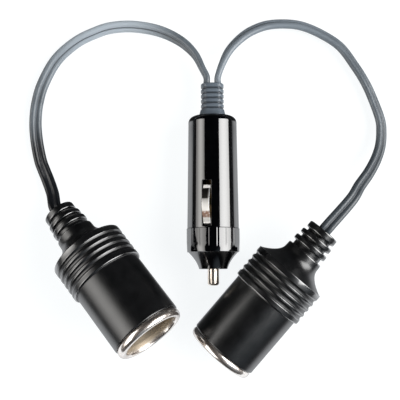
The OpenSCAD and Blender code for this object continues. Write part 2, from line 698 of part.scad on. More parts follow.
module left_housing() color("#191a1e") on_left() housing();
module left_liner() color("#c9c8c2") on_left() liner();
module left_insulator() color("#5a4632") on_left() insulator();
module left_centre_contact() color("#c2a35a") on_left() centre_contact();
module left_rivet() color("#b8b4aa") on_left() rivet();
module left_positive_lug() color("#c2a35a") on_left() positive_lug();
module left_ground_lug() color("#c2a35a") on_left() ground_lug();
module left_positive_lead() color("#b03a2e") on_left() positive_lead();
module left_negative_lead() color("#1d1e21") on_left() negative_lead();
module right_housing() color("#191a1e") on_right() housing();
module right_liner() color("#c9c8c2") on_right() liner();
module right_insulator() color("#5a4632") on_right() insulator();
module right_centre_contact() color("#c2a35a") on_right() centre_contact();
module right_rivet() color("#b8b4aa") on_right() rivet();
module right_positive_lug() color("#c2a35a") on_right() positive_lug();
module right_ground_lug() color("#c2a35a") on_right() ground_lug();
module right_positive_lead() color("#b03a2e") on_right() positive_lead();
module right_negative_lead() color("#1d1e21") on_right() negative_lead();

plug_body();
nose_cap();
centre_pin();
pin_spring();
fuse_glass();
fuse_caps();
fuse_wire();
rear_contact();
upper_side_contact();
lower_side_contact();
ground_strap();
plug_boot();
plug_positive_leads();
plug_negative_leads();
left_cord();
right_cord();
left_housing();
left_liner();
left_insulator();
left_centre_contact();
left_rivet();
left_positive_lug();
left_ground_lug();
left_positive_lead();
left_negative_lead();
right_housing();
right_liner();
right_insulator();
right_centre_contact();
right_rivet();
right_positive_lug();
right_ground_lug();
right_positive_lead();
right_negative_lead();
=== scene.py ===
"""Car power socket splitter: a fused plug with two flat twin cords to two lined sockets."""
import json
from math import acos, cos, pi, radians, sin, tan

import bmesh
import bpy
import numpy as np
from mathutils import Matrix, Vector
from numpy.linalg import norm


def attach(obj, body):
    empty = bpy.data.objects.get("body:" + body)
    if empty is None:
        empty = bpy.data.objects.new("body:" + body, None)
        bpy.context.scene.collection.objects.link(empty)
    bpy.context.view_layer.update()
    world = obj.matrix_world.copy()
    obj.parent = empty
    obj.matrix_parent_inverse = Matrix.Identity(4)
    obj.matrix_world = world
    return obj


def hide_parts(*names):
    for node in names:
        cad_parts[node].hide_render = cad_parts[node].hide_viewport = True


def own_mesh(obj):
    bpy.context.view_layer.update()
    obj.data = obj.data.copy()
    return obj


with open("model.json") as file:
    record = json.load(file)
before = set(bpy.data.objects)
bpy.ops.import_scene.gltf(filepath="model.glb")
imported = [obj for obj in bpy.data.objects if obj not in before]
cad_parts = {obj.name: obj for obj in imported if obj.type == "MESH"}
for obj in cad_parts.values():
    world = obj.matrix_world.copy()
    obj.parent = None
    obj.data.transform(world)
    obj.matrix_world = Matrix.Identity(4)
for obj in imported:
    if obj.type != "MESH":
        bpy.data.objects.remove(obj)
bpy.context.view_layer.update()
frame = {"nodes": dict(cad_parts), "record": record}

# Lengths are in millimetres until a mesh or an object is made
MM = 0.001
mounts = {m["name"]: m for m in frame["record"]["mounts"]}
joints = {j["name"]: j for j in frame["record"]["behaviour"]["joints"]}


# Camera at the photograph's viewing angle: above the object, tipped a little towards the viewer
PHOTO_CENTRE = np.array([4.15, 11.1, 10.0])
CAMERA_HEIGHT = 319.5
CAMERA_TIP = 0.03
CAMERA_LENS = 70.2


def add_camera():
    """The camera looks along (0, sin tip, -cos tip), through the centre of the photograph."""
    look = np.array([0.0, sin(CAMERA_TIP), -cos(CAMERA_TIP)])
    far = (CAMERA_HEIGHT - PHOTO_CENTRE[2]) / cos(CAMERA_TIP)
    back = Vector(-look)
    right = Vector((1.0, 0.0, 0.0))
    data = bpy.data.cameras.new("camera")
    data.lens = CAMERA_LENS
    data.sensor_width = 36.0
    camera = bpy.data.objects.new("camera", data)
    camera.matrix_world = Matrix((right, back.cross(right), back)).transposed().to_4x4()
    camera.location = Vector((PHOTO_CENTRE - far * look) * MM)
    bpy.context.collection.objects.link(camera)
    bpy.context.scene.camera = camera


add_camera()


# Axes of the plug and of the two sockets
class Axis:
    """A place, and three directions: ahead along the axis, down across it and to the side of it."""

    def __init__(self, place, ahead, roll=0.0):
        ahead = np.array(ahead, float)
        ahead /= norm(ahead)
        side = np.cross([0.0, 0.0, 1.0], ahead)
        side /= norm(side)
        down = np.cross(side, ahead)
        turn = radians(roll)
        self.place = np.array(place, float)
        self.down = down * cos(turn) + side * sin(turn)
        self.side = side * cos(turn) - down * sin(turn)
        self.ahead = ahead

    def put(self, points):
        """Own coordinates (down, side, ahead) become the place plus each times its direction."""
        return self.place + points @ np.stack([self.down, self.side, self.ahead])


SEAM_Z = 44.5
BORE_MID_Z = 10.5
PLUG_ROLL = 15


def axis_from(row, station, roll=0.0):
    """The axis that a row of the record states, moved back so that its station is 0."""
    ahead = np.array(row["axis"])
    return Axis(np.array(row["pos_m"]) / MM - station * ahead, ahead, roll)


PLUG = axis_from(joints["cap_turn"], SEAM_Z, PLUG_ROLL)
PLUG_UPRIGHT = axis_from(joints["cap_turn"], SEAM_Z)
SOCKETS = {k: axis_from(mounts[k + "_socket"], BORE_MID_Z) for k in ("left", "right")}


# Shader maths: an expression on values adds its Math nodes
class Value:
    """One output of a node. Sums, differences and products of values are Math nodes."""

    def __init__(self, finish, socket):
        self.finish = finish
        self.socket = socket

    def math(self, operation, *others):
        return self.finish.node("ShaderNodeMath", self, *others, settings={"operation": operation})

    def __add__(self, other):
        return self.math("ADD", other)

    def __sub__(self, other):
        return self.math("SUBTRACT", other)

    def __rsub__(self, other):
        return (self * -1.0).math("ADD", other)

    def __mul__(self, other):
        return self.math("MULTIPLY", other)

    __radd__ = __add__

    def clamp(self):
        return self.finish.node("ShaderNodeClamp", self)

    def ramp(self, low, high, to_low=0.0, to_high=1.0):
        """Smooth step from to_low at low to to_high at high."""
        named = {"settings": {"interpolation_type": "SMOOTHSTEP"}}
        return self.finish.node("ShaderNodeMapRange", self, low, high, to_low, to_high, **named)

    def between(self, comes, goes):
        """1 between a smooth step that comes in and one that goes out, otherwise 0."""
        return self.ramp(*comes) * self.ramp(*goes)


class Nodes:
    """The node tree of a material, a lamp or the world. node() adds any node."""

    def __init__(self, owner, output):
        owner.use_nodes = True
        self.tree = owner.node_tree
        self.tree.nodes.clear()
        self.out = self.tree.nodes.new(output)

    def fill(self, socket, value):
        """A value is linked and a constant is set. A colour of three numbers is opaque."""
        if isinstance(value, Value):
            self.tree.links.new(value.socket, socket)
        elif socket.type == "RGBA" and len(value) == 3:
            socket.default_value = (*value, 1.0)
        else:
            socket.default_value = value

    def node(self, kind, *values, settings={}, out=0, **named):
        """A node of that kind, with its inputs by order and by name."""
        made = self.tree.nodes.new(kind)
        for key, value in settings.items():
            setattr(made, key, value)
        for socket, value in zip(made.inputs, values):
            if value is not None:
                self.fill(socket, value)
        for key, value in named.items():
            self.fill(made.inputs[key.replace("_", " ")], value)
        return Value(self, made.outputs[out])

    def show(self, surface):
        self.tree.links.new(surface.socket, self.out.inputs["Surface"])

    def place(self):
        """Object coordinates in metres."""
        return self.node("ShaderNodeTexCoord", out="Object")

    def ray(self, kind):
        """1 for a ray of that kind, otherwise 0."""
        return self.node("ShaderNodeLightPath", out=kind)

    def vector_math(self, operation, *values, **named):
        settings = {"operation": operation}
        return self.node("ShaderNodeVectorMath", *values, settings=settings, **named)

    def dot(self, vector, direction):
        return self.vector_math("DOT_PRODUCT", vector, direction, out="Value")

    def length(self, vector):
        return self.vector_math("LENGTH", vector, out="Value")

    def split(self, vector, out):
        return self.node("ShaderNodeSeparateXYZ", vector, out=out)

    def either(self, share, first, second):
        """One shader or the other, as share goes from 0 to 1."""
        return self.node("ShaderNodeMixShader", share, first, second)


class Finish(Nodes):
    """A material. put() fills the sockets of its shader."""

    def __init__(self, name, **constants):
        self.material = bpy.data.materials.new(name)
        super().__init__(self.material, "ShaderNodeOutputMaterial")
        self.shader = self.tree.nodes.new("ShaderNodeBsdfPrincipled")
        self.show(Value(self, self.shader.outputs[0]))
        self.put(**constants)

    def put(self, **values):
        """Fill sockets of the shader by name, and give the material back."""
        for key, value in values.items():
            self.fill(self.shader.inputs[key.replace("_", " ")], value)
        return self.material

    def own(self):
        """The piece's own coordinates in millimetres, which follow its surface."""
        return self.node("ShaderNodeAttribute", settings={"attribute_name": "own"}, out="Vector")

    def edge(self):
        """1 on an outer edge, -1 in an inner corner, 0 on a plain surface."""
        return self.node("ShaderNodeAttribute", settings={"attribute_name": "edge"}, out="Fac")

    def solid(self):
        """Object coordinates in millimetres, for the nodes that the frame gives."""
        return self.vector_math("SCALE", self.place(), Scale=1.0 / MM)

    def scaled(self, vector, along):
        return self.vector_math("MULTIPLY", vector, along)

    def noise(self, vector, scale, detail=4.0, roughness=0.5):
        named = {"Vector": vector, "Scale": scale, "Detail": detail, "Roughness": roughness}
        return self.node("ShaderNodeTexNoise", **named)

    def mix(self, share, first, second):
        """Colour between two colours, as share goes from 0 to 1."""
        made = self.tree.nodes.new("ShaderNodeMix")
        made.data_type = "RGBA"
        self.fill(made.inputs[0], share)
        self.fill(made.inputs[6], first)
        self.fill(made.inputs[7], second)
        return Value(self, made.outputs[2])

    def relief(self, height, strength, distance):
        """Bump from a height, with the distance that a height of 1 stands for in millimetres."""
        named = {"Strength": strength, "Distance": distance * MM, "Height": height}
        return self.node("ShaderNodeBump", out="Normal", **named)


# Where finishes change, in a piece's own millimetres: along the plug, a housing and a strip
CONE_MATT = (SEAM_Z + 9.3, SEAM_Z + 9.7)
RIB_COAT = (4.0, 3.0)
# Stations of the painted highlight on the strip's curled rear end
STRIP_PAINTED_HIGHLIGHT = (29.6, 29.3)
# Stations of the painted shade behind the strip's crest
STRIP_PAINTED_SHADE = (29.4, 29.8), (34.0, 33.4)
STRIP_BARE = (38.2, 38.8), (41.2, 40.5)
# Across a strip, and outwards from the axis of a liner
# The side of a strip that takes the painted shade
PAINTED_SHADE_SIDE = (0.95, 0.7)
LINER_BORE = (11.3, 10.85)


def gloss_plastic():
    """Polished moulding: very dark, a clear reflection, faint swirls of handling and pale rubbed
    edges. The nose in front of the cap's ring is a little duller."""
    f = Finish("gloss_plastic", IOR=1.95)
    own = f.own()
    mottle = f.noise(own, 0.35, 3.0).ramp(0.35, 0.7)
    scuffs = f.noise(f.scaled(own, (3.0, 3.0, 0.25)), 2.2, 6.0, 0.65).ramp(0.62, 0.8)
    rubbed = (f.edge().clamp() * f.noise(own, 1.6, 5.0).ramp(0.45, 0.7)).clamp()
    matt = f.split(own, 2).ramp(*CONE_MATT)
    base = f.mix(mottle, (0.0004, 0.0005, 0.0008), (0.001, 0.0011, 0.0016))
    return f.put(
        Base_Color=f.mix(rubbed * 0.5, base, (0.02, 0.021, 0.024)),
        Roughness=0.045 + mottle * 0.025 + scuffs * 0.05 + rubbed * 0.12 + matt * 0.07,
        Normal=f.relief(f.noise(own, 0.22, 2.0), 0.12, 0.12),
    )


def satin_plastic():
    """Soft-gloss moulding: near black, finely grained, dulled in the grooves and rubbed on the
    ribs, whose edges have a clear coat that the barrel lacks."""
    f = Finish("satin_plastic", IOR=1.68, Coat_IOR=1.9, Coat_Roughness=0.12)
    own = f.own()
    grain = f.noise(own, 5.5, 3.0, 0.6)
    cloud = f.noise(own, 0.25, 4.0).ramp(0.3, 0.7)
    worn = (f.edge().clamp() * f.noise(own, 1.1, 5.0).ramp(0.4, 0.75)).clamp()
    dust = (f.edge() * -1.0).clamp()
    base = f.mix(cloud, (0.0012, 0.0014, 0.0018), (0.0028, 0.003, 0.0036))
    dusty = f.mix(dust * 0.25, base, (0.006, 0.006, 0.0065))
    return f.put(
        Base_Color=f.mix(worn * 0.35, dusty, (0.016, 0.017, 0.019)),
        Roughness=0.26 + cloud * 0.03 + grain * 0.04 + dust * 0.12 - worn * 0.04,
        Coat_Weight=f.edge().clamp() * f.split(own, 2).ramp(*RIB_COAT, 0.0, 0.9),
        Normal=f.relief(grain, 0.18, 0.04),
    )


def soft_plastic(name, dark, pale, rough, grain_scale, painted_stretches=()):
    """Soft PVC: a plain grey with slow clouds, a fine skin, and dust with painted shade that
    darkens its corners. Each painted stretch is a paler colour of painted light, or a darker one of
    painted shade, with the lengths along the piece where it comes in and where it goes out."""
    f = Finish(name, IOR=1.5)
    own = f.own()
    skin = f.noise(own, grain_scale, 3.0, 0.6)
    cloud = f.noise(own, 0.18, 3.0).ramp(0.3, 0.72)
    # Painted shade as well as dust: grooves and inner corners darken towards near black
    dust = (f.edge() * -1.0).clamp()
    rub = f.edge().clamp()
    base = f.mix(cloud, dark, pale)
    # Painted light and shade: each painted stretch lays a paler or darker colour along the piece
    for colour, comes, goes in painted_stretches:
        base = f.mix(f.split(own, 2).between(comes, goes), base, colour)
    return f.put(
        Base_Color=f.mix(dust * 0.75, f.mix(rub * 0.35, base, pale), (0.012, 0.014, 0.018)),
        Roughness=rough + skin * 0.1 - rub * 0.05,
        Normal=f.relief(skin, 0.22, 0.035),
    )


def plated(name, colour, dull, rough):
    """Plated metal: a fine grain with dull patches."""
    f = Finish(name, Metallic=1.0)
    own = f.own()
    grain = f.noise(own, 3.0, 5.0, 0.7)
    patches = f.noise(own, 0.5, 4.0).ramp(0.45, 0.75)
    return f.put(
        Base_Color=f.mix(patches * 0.55 + grain * 0.2, colour, dull),
        Roughness=rough + patches * 0.08 + grain * 0.06 - f.edge().clamp() * 0.03,
        Normal=f.relief(grain, 0.25, 0.02),
    )


def strip_plate():
    """Nickel plate of a side contact: painted shade darkens it behind its crest along one side, it
    is rubbed through to the brass in front of it, and a painted highlight makes it pale and dull
    where its rear end is curled in."""
    f = Finish("strip_plate")
    own = f.own()
    along = f.split(own, 2)
    lines = f.noise(f.scaled(own, (2.0, 6.0, 0.3)), 1.5, 5.0, 0.7)
    patches = f.noise(own, 0.5, 4.0).ramp(0.45, 0.75)
    bare = along.between(*STRIP_BARE) * f.noise(own, 1.5, 3.0).ramp(0.25, 0.5)
    # Painted highlight: the curled rear end turns pale and dull, mostly not metal
    painted_highlight = along.ramp(*STRIP_PAINTED_HIGHLIGHT)
    # Painted shade: a dark patch behind the crest, on one side of the strip
    painted_shade = along.between(*STRIP_PAINTED_SHADE) * f.split(own, 1).ramp(*PAINTED_SHADE_SIDE)
    plate = f.mix(patches * 0.4 + lines * 0.2, (0.98, 0.97, 0.95), (0.8, 0.76, 0.7))
    # The plate darkened by the painted shade
    stained = f.mix(painted_shade * 0.92, plate, (0.04, 0.037, 0.028))
    rough = 0.42 + patches * 0.05 + lines * 0.06 - f.edge().clamp() * 0.1
    return f.put(
        Base_Color=f.mix(bare * 0.9, stained, (0.27, 0.13, 0.075)),
        Metallic=1.0 - painted_highlight * 0.85,
        Roughness=rough - painted_shade * 0.1 + painted_highlight * 0.15,
        Normal=f.relief(lines, 0.2, 0.02),
    )


def liner_plate():
    """Nickel plate: a polished rim, and a bore dulled and warmed by use, with lines along it."""
    f = Finish("liner_plate", Metallic=1.0)
    own = f.own()
    inside = f.length(f.scaled(own, (1.0, 1.0, 0.0))).ramp(*LINER_BORE)
    lines = f.noise(f.scaled(own, (4.0, 4.0, 0.12)), 1.2, 5.0, 0.7)
    patches = f.noise(own, 0.4, 4.0).ramp(0.45, 0.75)
    bore = f.mix(lines, (0.3, 0.265, 0.19), (0.5, 0.45, 0.35))
    rim = f.mix(patches * 0.5, (0.84, 0.83, 0.81), (0.66, 0.63, 0.58))
    colour = f.mix(inside, rim, bore)
    bump = f.relief(lines * (inside + 0.08), 0.3, 0.04)
    rough = 0.1 + patches * 0.05 + inside * 0.45 + lines * inside * 0.15
    f.put(Base_Color=colour, Roughness=rough, Normal=bump)
    warm = f.mix(0.5, colour, (0.6, 0.45, 0.36))
    named = {"Base_Color": warm, "Roughness": inside * 0.2 + 0.42, "Metallic": 1.0, "Normal": bump}
    dull = f.node("ShaderNodeBsdfPrincipled", **named)
    f.show(f.either(0.4 + patches * 0.2, Value(f, f.shader.outputs[0]), dull))
    return f.material


def turned_metal():
    """Pin metal: rings left by turning round its own axis, with brown stains."""
    f = Finish("turned_metal", Metallic=1.0)
    own = f.own()
    rings = f.noise(f.scaled(own, (0.15, 0.15, 9.0)), 1.3, 4.0, 0.6)
    stain = f.noise(own, 0.8, 4.0).ramp(0.45, 0.8)
    return f.put(
        Base_Color=f.mix(stain, (0.8, 0.73, 0.65), (0.6, 0.49, 0.39)),
        Roughness=0.25 + rings * 0.08 + stain * 0.1,
        Normal=f.relief(rings, 0.3, 0.02),
    )


def inner_metal(name, colour, stained, rough):
    """Metal of the frame's own nodes: stains and drawn lines in object coordinates."""
    f = Finish(name, Metallic=1.0)
    place = f.solid()
    stain = f.noise(place, 0.6, 4.0).ramp(0.4, 0.75)
    lines = f.noise(f.scaled(place, (0.4, 4.0, 4.0)), 1.5, 4.0)
    return f.put(
        Base_Color=f.mix(stain, colour, stained),
        Roughness=rough + stain * 0.12 + lines * 0.05,
        Normal=f.relief(lines, 0.2, 0.02),
    )


def insulation(name, dark, pale):
    """Lead insulation: plain colour with slow clouds and a fine skin."""
    f = Finish(name, IOR=1.5)
    place = f.solid()
    cloud = f.noise(place, 0.4, 3.0).ramp(0.3, 0.7)
    return f.put(
        Base_Color=f.mix(cloud, dark, pale),
        Roughness=0.4 + cloud * 0.1,
        Normal=f.relief(f.noise(place, 4.0, 2.0), 0.15, 0.03),
    )


def board():
    """Pressed insulating board: brown, with fibres that cross each other and darker flecks."""
    f = Finish("pressed_board", IOR=1.5)
    own = f.own()
    fibres = f.noise(f.scaled(own, (0.5, 5.0, 5.0)), 2.0, 5.0, 0.7)
    crossed = f.noise(f.scaled(own, (5.0, 0.5, 5.0)), 2.0, 5.0, 0.7)
    flecks = f.noise(own, 4.0, 3.0).ramp(0.6, 0.75)
    base = f.mix((fibres + crossed) * 0.5, (0.12, 0.066, 0.03), (0.26, 0.15, 0.075))
    return f.put(
        Base_Color=f.mix(flecks, base, (0.05, 0.028, 0.014)),
        Roughness=0.5 + fibres * 0.15,
        Normal=f.relief(fibres + crossed, 0.3, 0.04),
    )


def clear_glass():
    """Clear glass with a trace of dust."""
    f = Finish("clear_glass", Transmission_Weight=1.0, IOR=1.5)
    dust = f.noise(f.solid(), 1.2, 4.0).ramp(0.45, 0.8)
    return f.put(
        Base_Color=f.mix(dust, (0.95, 0.98, 0.98), (0.85, 0.88, 0.88)),
        Roughness=0.02 + dust * 0.06,
    )


# Painted light and shade along the cords: paler painted light along their upper arcs, and painted
# shade towards the sockets, darkest on the left one near its socket
CORD_PAINTED_LIGHT_AND_SHADE = {
    "left": [
        ((0.38, 0.43, 0.48), (20, 44), (100, 48)),
        ((0.006, 0.007, 0.009), (102, 119), (201, 200)),
    ],
    "right": [
        ((0.17, 0.198, 0.228), (-2, 0), (80, 45)),
        ((0.05, 0.06, 0.07), (95, 125), (201, 200)),
    ],
}
CORD_GREYS = ((0.085, 0.1, 0.116), (0.12, 0.14, 0.16))
CORD_PVC = {
    side: soft_plastic(side + "_cord_pvc", *CORD_GREYS, 0.28, 3.0, painted_stretches)
    for side, painted_stretches in CORD_PAINTED_LIGHT_AND_SHADE.items()
}
FINISHES = {
    "body_plastic": gloss_plastic(),
    "housing_plastic": satin_plastic(),
    "soft_plastic": soft_plastic("boot_pvc", (0.078, 0.095, 0.118), (0.115, 0.14, 0.168), 0.3, 4.0),
    "cord_plastic": CORD_PVC["left"],
    "pin_metal": turned_metal(),
    "strip_metal": strip_plate(),
    "liner_metal": liner_plate(),
    # Painted shade: the inner brass is darkened far below brass, for the parts seen deep in the
    # plug's slots
    "brass": inner_metal("brass_darkened_by_painted_shade", (0.26, 0.18, 0.09), (0.14, 0.095, 0.05), 0.28),
    "tinned_metal": inner_metal("tin_plate", (0.75, 0.75, 0.76), (0.5, 0.5, 0.5), 0.25),
    "spring_steel": plated("spring_wire", (0.6, 0.61, 0.63), (0.38, 0.36, 0.34), 0.25),
    "fuse_glass": clear_glass(),
    "disc_board": board(),
    "lead_positive": insulation("red_insulation", (0.28, 0.02, 0.015), (0.4, 0.035, 0.025)),
    "lead_negative": insulation("black_insulation", (0.014, 0.014, 0.016), (0.026, 0.026, 0.028)),
}
BUTTON_BRASS = plated("button_brass", (0.8, 0.6, 0.32), (0.5, 0.33, 0.16), 0.2)
RIVET_TIN = plated("rivet_tin", (0.75, 0.75, 0.75), (0.5, 0.5, 0.5), 0.22)


# Meshes. Points nearer than WELD metres are merged, and edges shorter than SLIVER metres go
WELD = 2e-8
SLIVER = 1e-7


class Shape:
    """Points in own coordinates, faces and the edge value of each point, gathered into one mesh."""

    def __init__(self):
        self.points = np.zeros((0, 3))
        self.edge = np.zeros(0)
        self.faces = []

    def add(self, points, faces, edge=None):
        base = len(self.points)
        points = np.asarray(points, float).reshape(-1, 3)
        self.points = np.vstack([self.points, points])
        edge = np.zeros(len(points)) if edge is None else np.asarray(edge, float).reshape(-1)
        self.edge = np.concatenate([self.edge, edge])
        self.faces += [[base + int(v) for v in face] for face in faces]
        return base


def grid(rows, cols, closed=False):
    """Quads between neighbouring rows and columns. Columns join up; closed joins the rows too."""
    i = np.arange(rows if closed else rows - 1)[:, None]
    j = np.arange(cols)[None, :]
    up = (i + 1) % rows * cols
    at = i * cols
    nxt = (j + 1) % cols
    return np.stack([at + j, at + nxt, up + nxt, up + j], -1).reshape(-1, 4)


def loft(points, edge=None):
    """Surface over rows of points, with one face over the first row and one over the last."""
    rows, cols = points.shape[:2]
    shape = Shape()
    shape.add(points, grid(rows, cols), edge)
    shape.faces.append(list(range(cols))[::-1])
    shape.faces.append([(rows - 1) * cols + k for k in range(cols)])
    return shape


def carried(path, section, wide, thin):
    """Section carried along a path: path + x times wide + y times thin, for each x and y of it."""
    return path[:, None] + section[:, 0:1] * wide[:, None] + section[:, 1:2] * thin[:, None]


def unit(rows):
    """Each row divided by its length."""
    return rows / norm(rows, axis=1)[:, None]


def make(name, shape, axis, slot, body, node, sharp=40.0, finish=None):
    """The piece: its points are put on the axis, or at the places that stand for one. Doubles are
    merged and faces turned outwards."""
    places = axis.put(shape.points) if isinstance(axis, Axis) else axis
    mesh = bpy.data.meshes.new(name)
    mesh.from_pydata(places * MM, [], shape.faces)
    own = mesh.attributes.new("own", "FLOAT_VECTOR", "POINT")
    own.data.foreach_set("vector", shape.points.astype(np.float32).ravel())
    edge = mesh.attributes.new("edge", "FLOAT", "POINT")
    edge.data.foreach_set("value", shape.edge.astype(np.float32))
    work = bmesh.new()
    work.from_mesh(mesh)
    bmesh.ops.remove_doubles(work, verts=work.verts, dist=WELD)
    bmesh.ops.dissolve_degenerate(work, edges=work.edges, dist=SLIVER)
    if work.calc_volume(signed=True) < 0:
        bmesh.ops.reverse_faces(work, faces=work.faces)
    work.to_mesh(mesh)
    work.free()
    mesh.polygons.foreach_set("use_smooth", np.ones(len(mesh.polygons), bool))
    mesh.set_sharp_from_angle(angle=radians(sharp))
    mesh.materials.append(finish or FINISHES[slot])
    piece = bpy.data.objects.new(name, mesh)
    bpy.context.collection.objects.link(piece)
    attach(piece, body)
    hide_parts(node)
    return piece


# An arc takes up this share of its shorter side at most, and a guard point needs this much room
ARC_SHARE = 0.49
GUARD_LEAST = 0.01


def rounded(corners, steps=5, guard=0.12, closed=False):
    """Line through corners (r, z, round), each corner cut by an arc that touches both sides.

    The arc's centre lies on the corner's bisector, and a guard point on each side of the arc
    keeps the shading of the flat stretches flat. Returns rows of r, z and edge.
    """
    corners = np.array(corners, float)
    line = []
    for i, (r, z, radius) in enumerate(corners):
        here = np.array([r, z])
        if radius == 0 or (not closed and i in (0, len(corners) - 1)):
            line.append([r, z, 0.0])
            continue
        before = corners[i - 1][:2] - here
        after = corners[(i + 1) % len(corners)][:2] - here
        room = min(norm(before), norm(after)) * ARC_SHARE
        before /= norm(before)
        after /= norm(after)
        half = acos(max(-1.0, min(1.0, float(before @ after)))) / 2
        cut = min(radius / tan(half), room)
        radius = cut * tan(half)
        middle = here + (before + after) / norm(before + after) * radius / sin(half)
        start, end = here + before * cut - middle, here + after * cut - middle
        outer = 1.0 if before[0] * after[1] - before[1] * after[0] > 0 else -1.0
        span = pi - 2 * half
        arc = []
        for s in np.linspace(0.0, 1.0, steps + 1):
            arm = (sin((1 - s) * span) * start + sin(s * span) * end) / sin(span)
            arc.append([*(middle + arm), outer])
        spare = min(guard, room - cut)
        if spare > GUARD_LEAST:
            guards = [[*(here + way * (cut + spare)), 0.0] for way in (before, after)]
            arc = [guards[0], *arc, guards[1]]
        line += arc
    return np.array(line)


def turned(line, sides):
    """Points of a line turned round the axis: (r cos a, r sin a, z) over the full turn of a."""
    angle = 2 * pi * np.arange(sides) / sides
    r, z = line[:, 0:1], line[:, 1:2]
    return np.stack([r * np.cos(angle), r * np.sin(angle), z + 0 * angle], -1)


def lathe(line, sides, closed=False):
    """Surface of a turned line. closed joins the line's last point to its first."""
    shape = Shape()
    faces = grid(len(line), sides, closed)
    shape.add(turned(line, sides), faces, np.repeat(line[:, 2], sides))
    return shape


# Cords: the same routes as in the part's source
LOBE_R = 1.3
LOBE_REACH = 133
WAIST = 0.72
WEB_X, WEB_Y = 0.12, 0.76
CORD_ROWS = 260
BOOT_LEN = 13.3
LEAD_X = 2.275
END_RUN = 3.0
RELIEF_Z = -34.5
ROUTES = {
    "left": [
        [5, 64.1, 8, 90], [2.5, 69.1, 7.5, 80], [-1.5, 73.6, 6.8, 66], [-6.5, 77.1, 6, 58],
        [-12.5, 79.8, 5.2, 52], [-19, 81.4, 4.4, 50], [-25.5, 82.1, 3.6, 50], [-32.5, 81.6, 3, 50],
        [-38.5, 79.8, 2.6, 50], [-46.5, 75.8, 2.5, 50], [-54.5, 68.6, 2.4, 45],
        [-59.8, 59.1, 2.4, 42], [-62.2, 51.1, 2.3, 40], [-63, 43.3, 2.2, 35], [-62.5, 35.6, 2, 28],
        [-61, 27.8, 1.9, 20], [-59.5, 23.6, 2, 14], [-57.8, 19.6, 2.4, 8], [-55.4, 13.8, 4.6, 0],
    ],
    "right": [
        [13.2, 66.1, 8, 80], [15.9, 71.4, 7.4, 66], [20, 76, 6.7, 58], [24.7, 79.5, 6, 52],
        [31, 82.1, 5.2, 50], [38.3, 82.9, 4.5, 50], [45.6, 82.2, 3.8, 50], [53.5, 79.1, 3.2, 50],
        [61.4, 74, 2.7, 50], [67.4, 66.1, 2.5, 50], [71.3, 59.8, 2.5, 50], [74.2, 53.6, 2.5, 48],
        [77.4, 44.4, 3, 44], [77.8, 38.6, 3.7, 40], [77, 32.9, 4.9, 36], [74.8, 27.4, 6.8, 32],
        [71.4, 21.9, 9.2, 28], [67.2, 16.6, 12, 22], [63.3, 11, 14.6, 14],
    ],
}


def route_of(name):
    """Points and twists of a cord: out of the boot, along its route, into the socket's relief."""
    sign = -1.0 if name == "left" else 1.0
    start = PLUG_UPRIGHT.place - BOOT_LEN * PLUG_UPRIGHT.ahead + sign * LEAD_X * PLUG_UPRIGHT.side
    socket = SOCKETS[name]
    end = socket.place + RELIEF_Z * socket.ahead
    first = [[*start, 90.0], [*(start - END_RUN * PLUG_UPRIGHT.ahead), 90.0]]
    last = [[*(end - END_RUN * socket.ahead), 0.0], [*end, 0.0]]
    return np.array(first + ROUTES[name] + last, float)


def smooth_through(points, count):
    """Catmull-Rom curve: each stretch is the cubic through its two points whose slope at a point
    is half the step between that point's two neighbours."""
    t = np.linspace(0, len(points) - 1, count)
    i = np.minimum(t.astype(int), len(points) - 2)
    u = (t - i)[:, None]
    a, b, c, d = (points[np.clip(i + k, 0, len(points) - 1)] for k in (-1, 0, 1, 2))
    cubic = (3 * b - a - 3 * c + d) * u**3 / 2
    return b + (c - a) * u / 2 + (2 * a - 5 * b + 4 * c - d) * u**2 / 2 + cubic


def twin_section(steps=14):
    """Two round lobes side by side, joined by a narrow web at the waist: rows of wide and thin."""
    reach = radians(LOBE_REACH)
    a = np.linspace(-reach, reach, 2 * steps + 1)
    lobe = np.stack([LOBE_R * (1 + np.cos(a)), LOBE_R * np.sin(a)], -1)
    web = np.array([[WEB_X, WEB_Y], [0.0, WAIST], [-WEB_X, WEB_Y]])
    return np.vstack([lobe, web, -lobe, -web])


def add_cord(name):
    """Twin section carried along its route, with its wide side along side cos t + up sin t, where t
    is the route's twist. Its own coordinates are wide, thin and the length along the path."""
    route = route_of(name)
    curve = smooth_through(route, CORD_ROWS)
    path, twist = curve[:, :3], np.radians(curve[:, 3:4])
    way = np.gradient(path, axis=0)
    way[0] = route[1, :3] - route[0, :3]
    way[-1] = route[-1, :3] - route[-2, :3]
    way = unit(way)
    side = unit(np.cross(way, [0.0, 0.0, 1.0]))
    wide = side * np.cos(twist) + np.cross(side, way) * np.sin(twist)
    section = twin_section()
    cols = len(section)
    points = carried(path, section, wide, np.cross(way, wide))
    length = np.concatenate([[0], np.cumsum(norm(np.diff(path, axis=0), axis=1))])
    own = np.empty_like(points)
    own[..., 0:2] = section
    own[..., 2] = length[:, None]
    # The web between the lobes takes the inner-corner value, so dust and painted shade darken it
    waist = np.where(np.abs(section[:, 0]) < 2 * WEB_X, -1.0, 0.0)
    shape = Shape()
    shape.add(own, grid(len(path), cols), np.tile(waist, (len(path), 1)))
    half = cols // 2
    lobes = [[*range(half - 1), cols - 2, cols - 1], [*range(half - 2, cols - 1)]]
    for row, flip in ((0, -1), (len(path) - 1, 1)):
        shape.faces += [[row * cols + k for k in loop[::flip]] for loop in lobes]
    piece = make(
        name + "_twin_cord", shape, points.reshape(-1, 3), "cord_plastic", "root",
        name + "_cord", finish=CORD_PVC[name],
    )
    tuple(path[0] * MM)
    [tuple(p * MM) for p in path[::2]] + [tuple(path[-1] * MM)]


for side_name in ("left", "right"):
    add_cord(side_name)


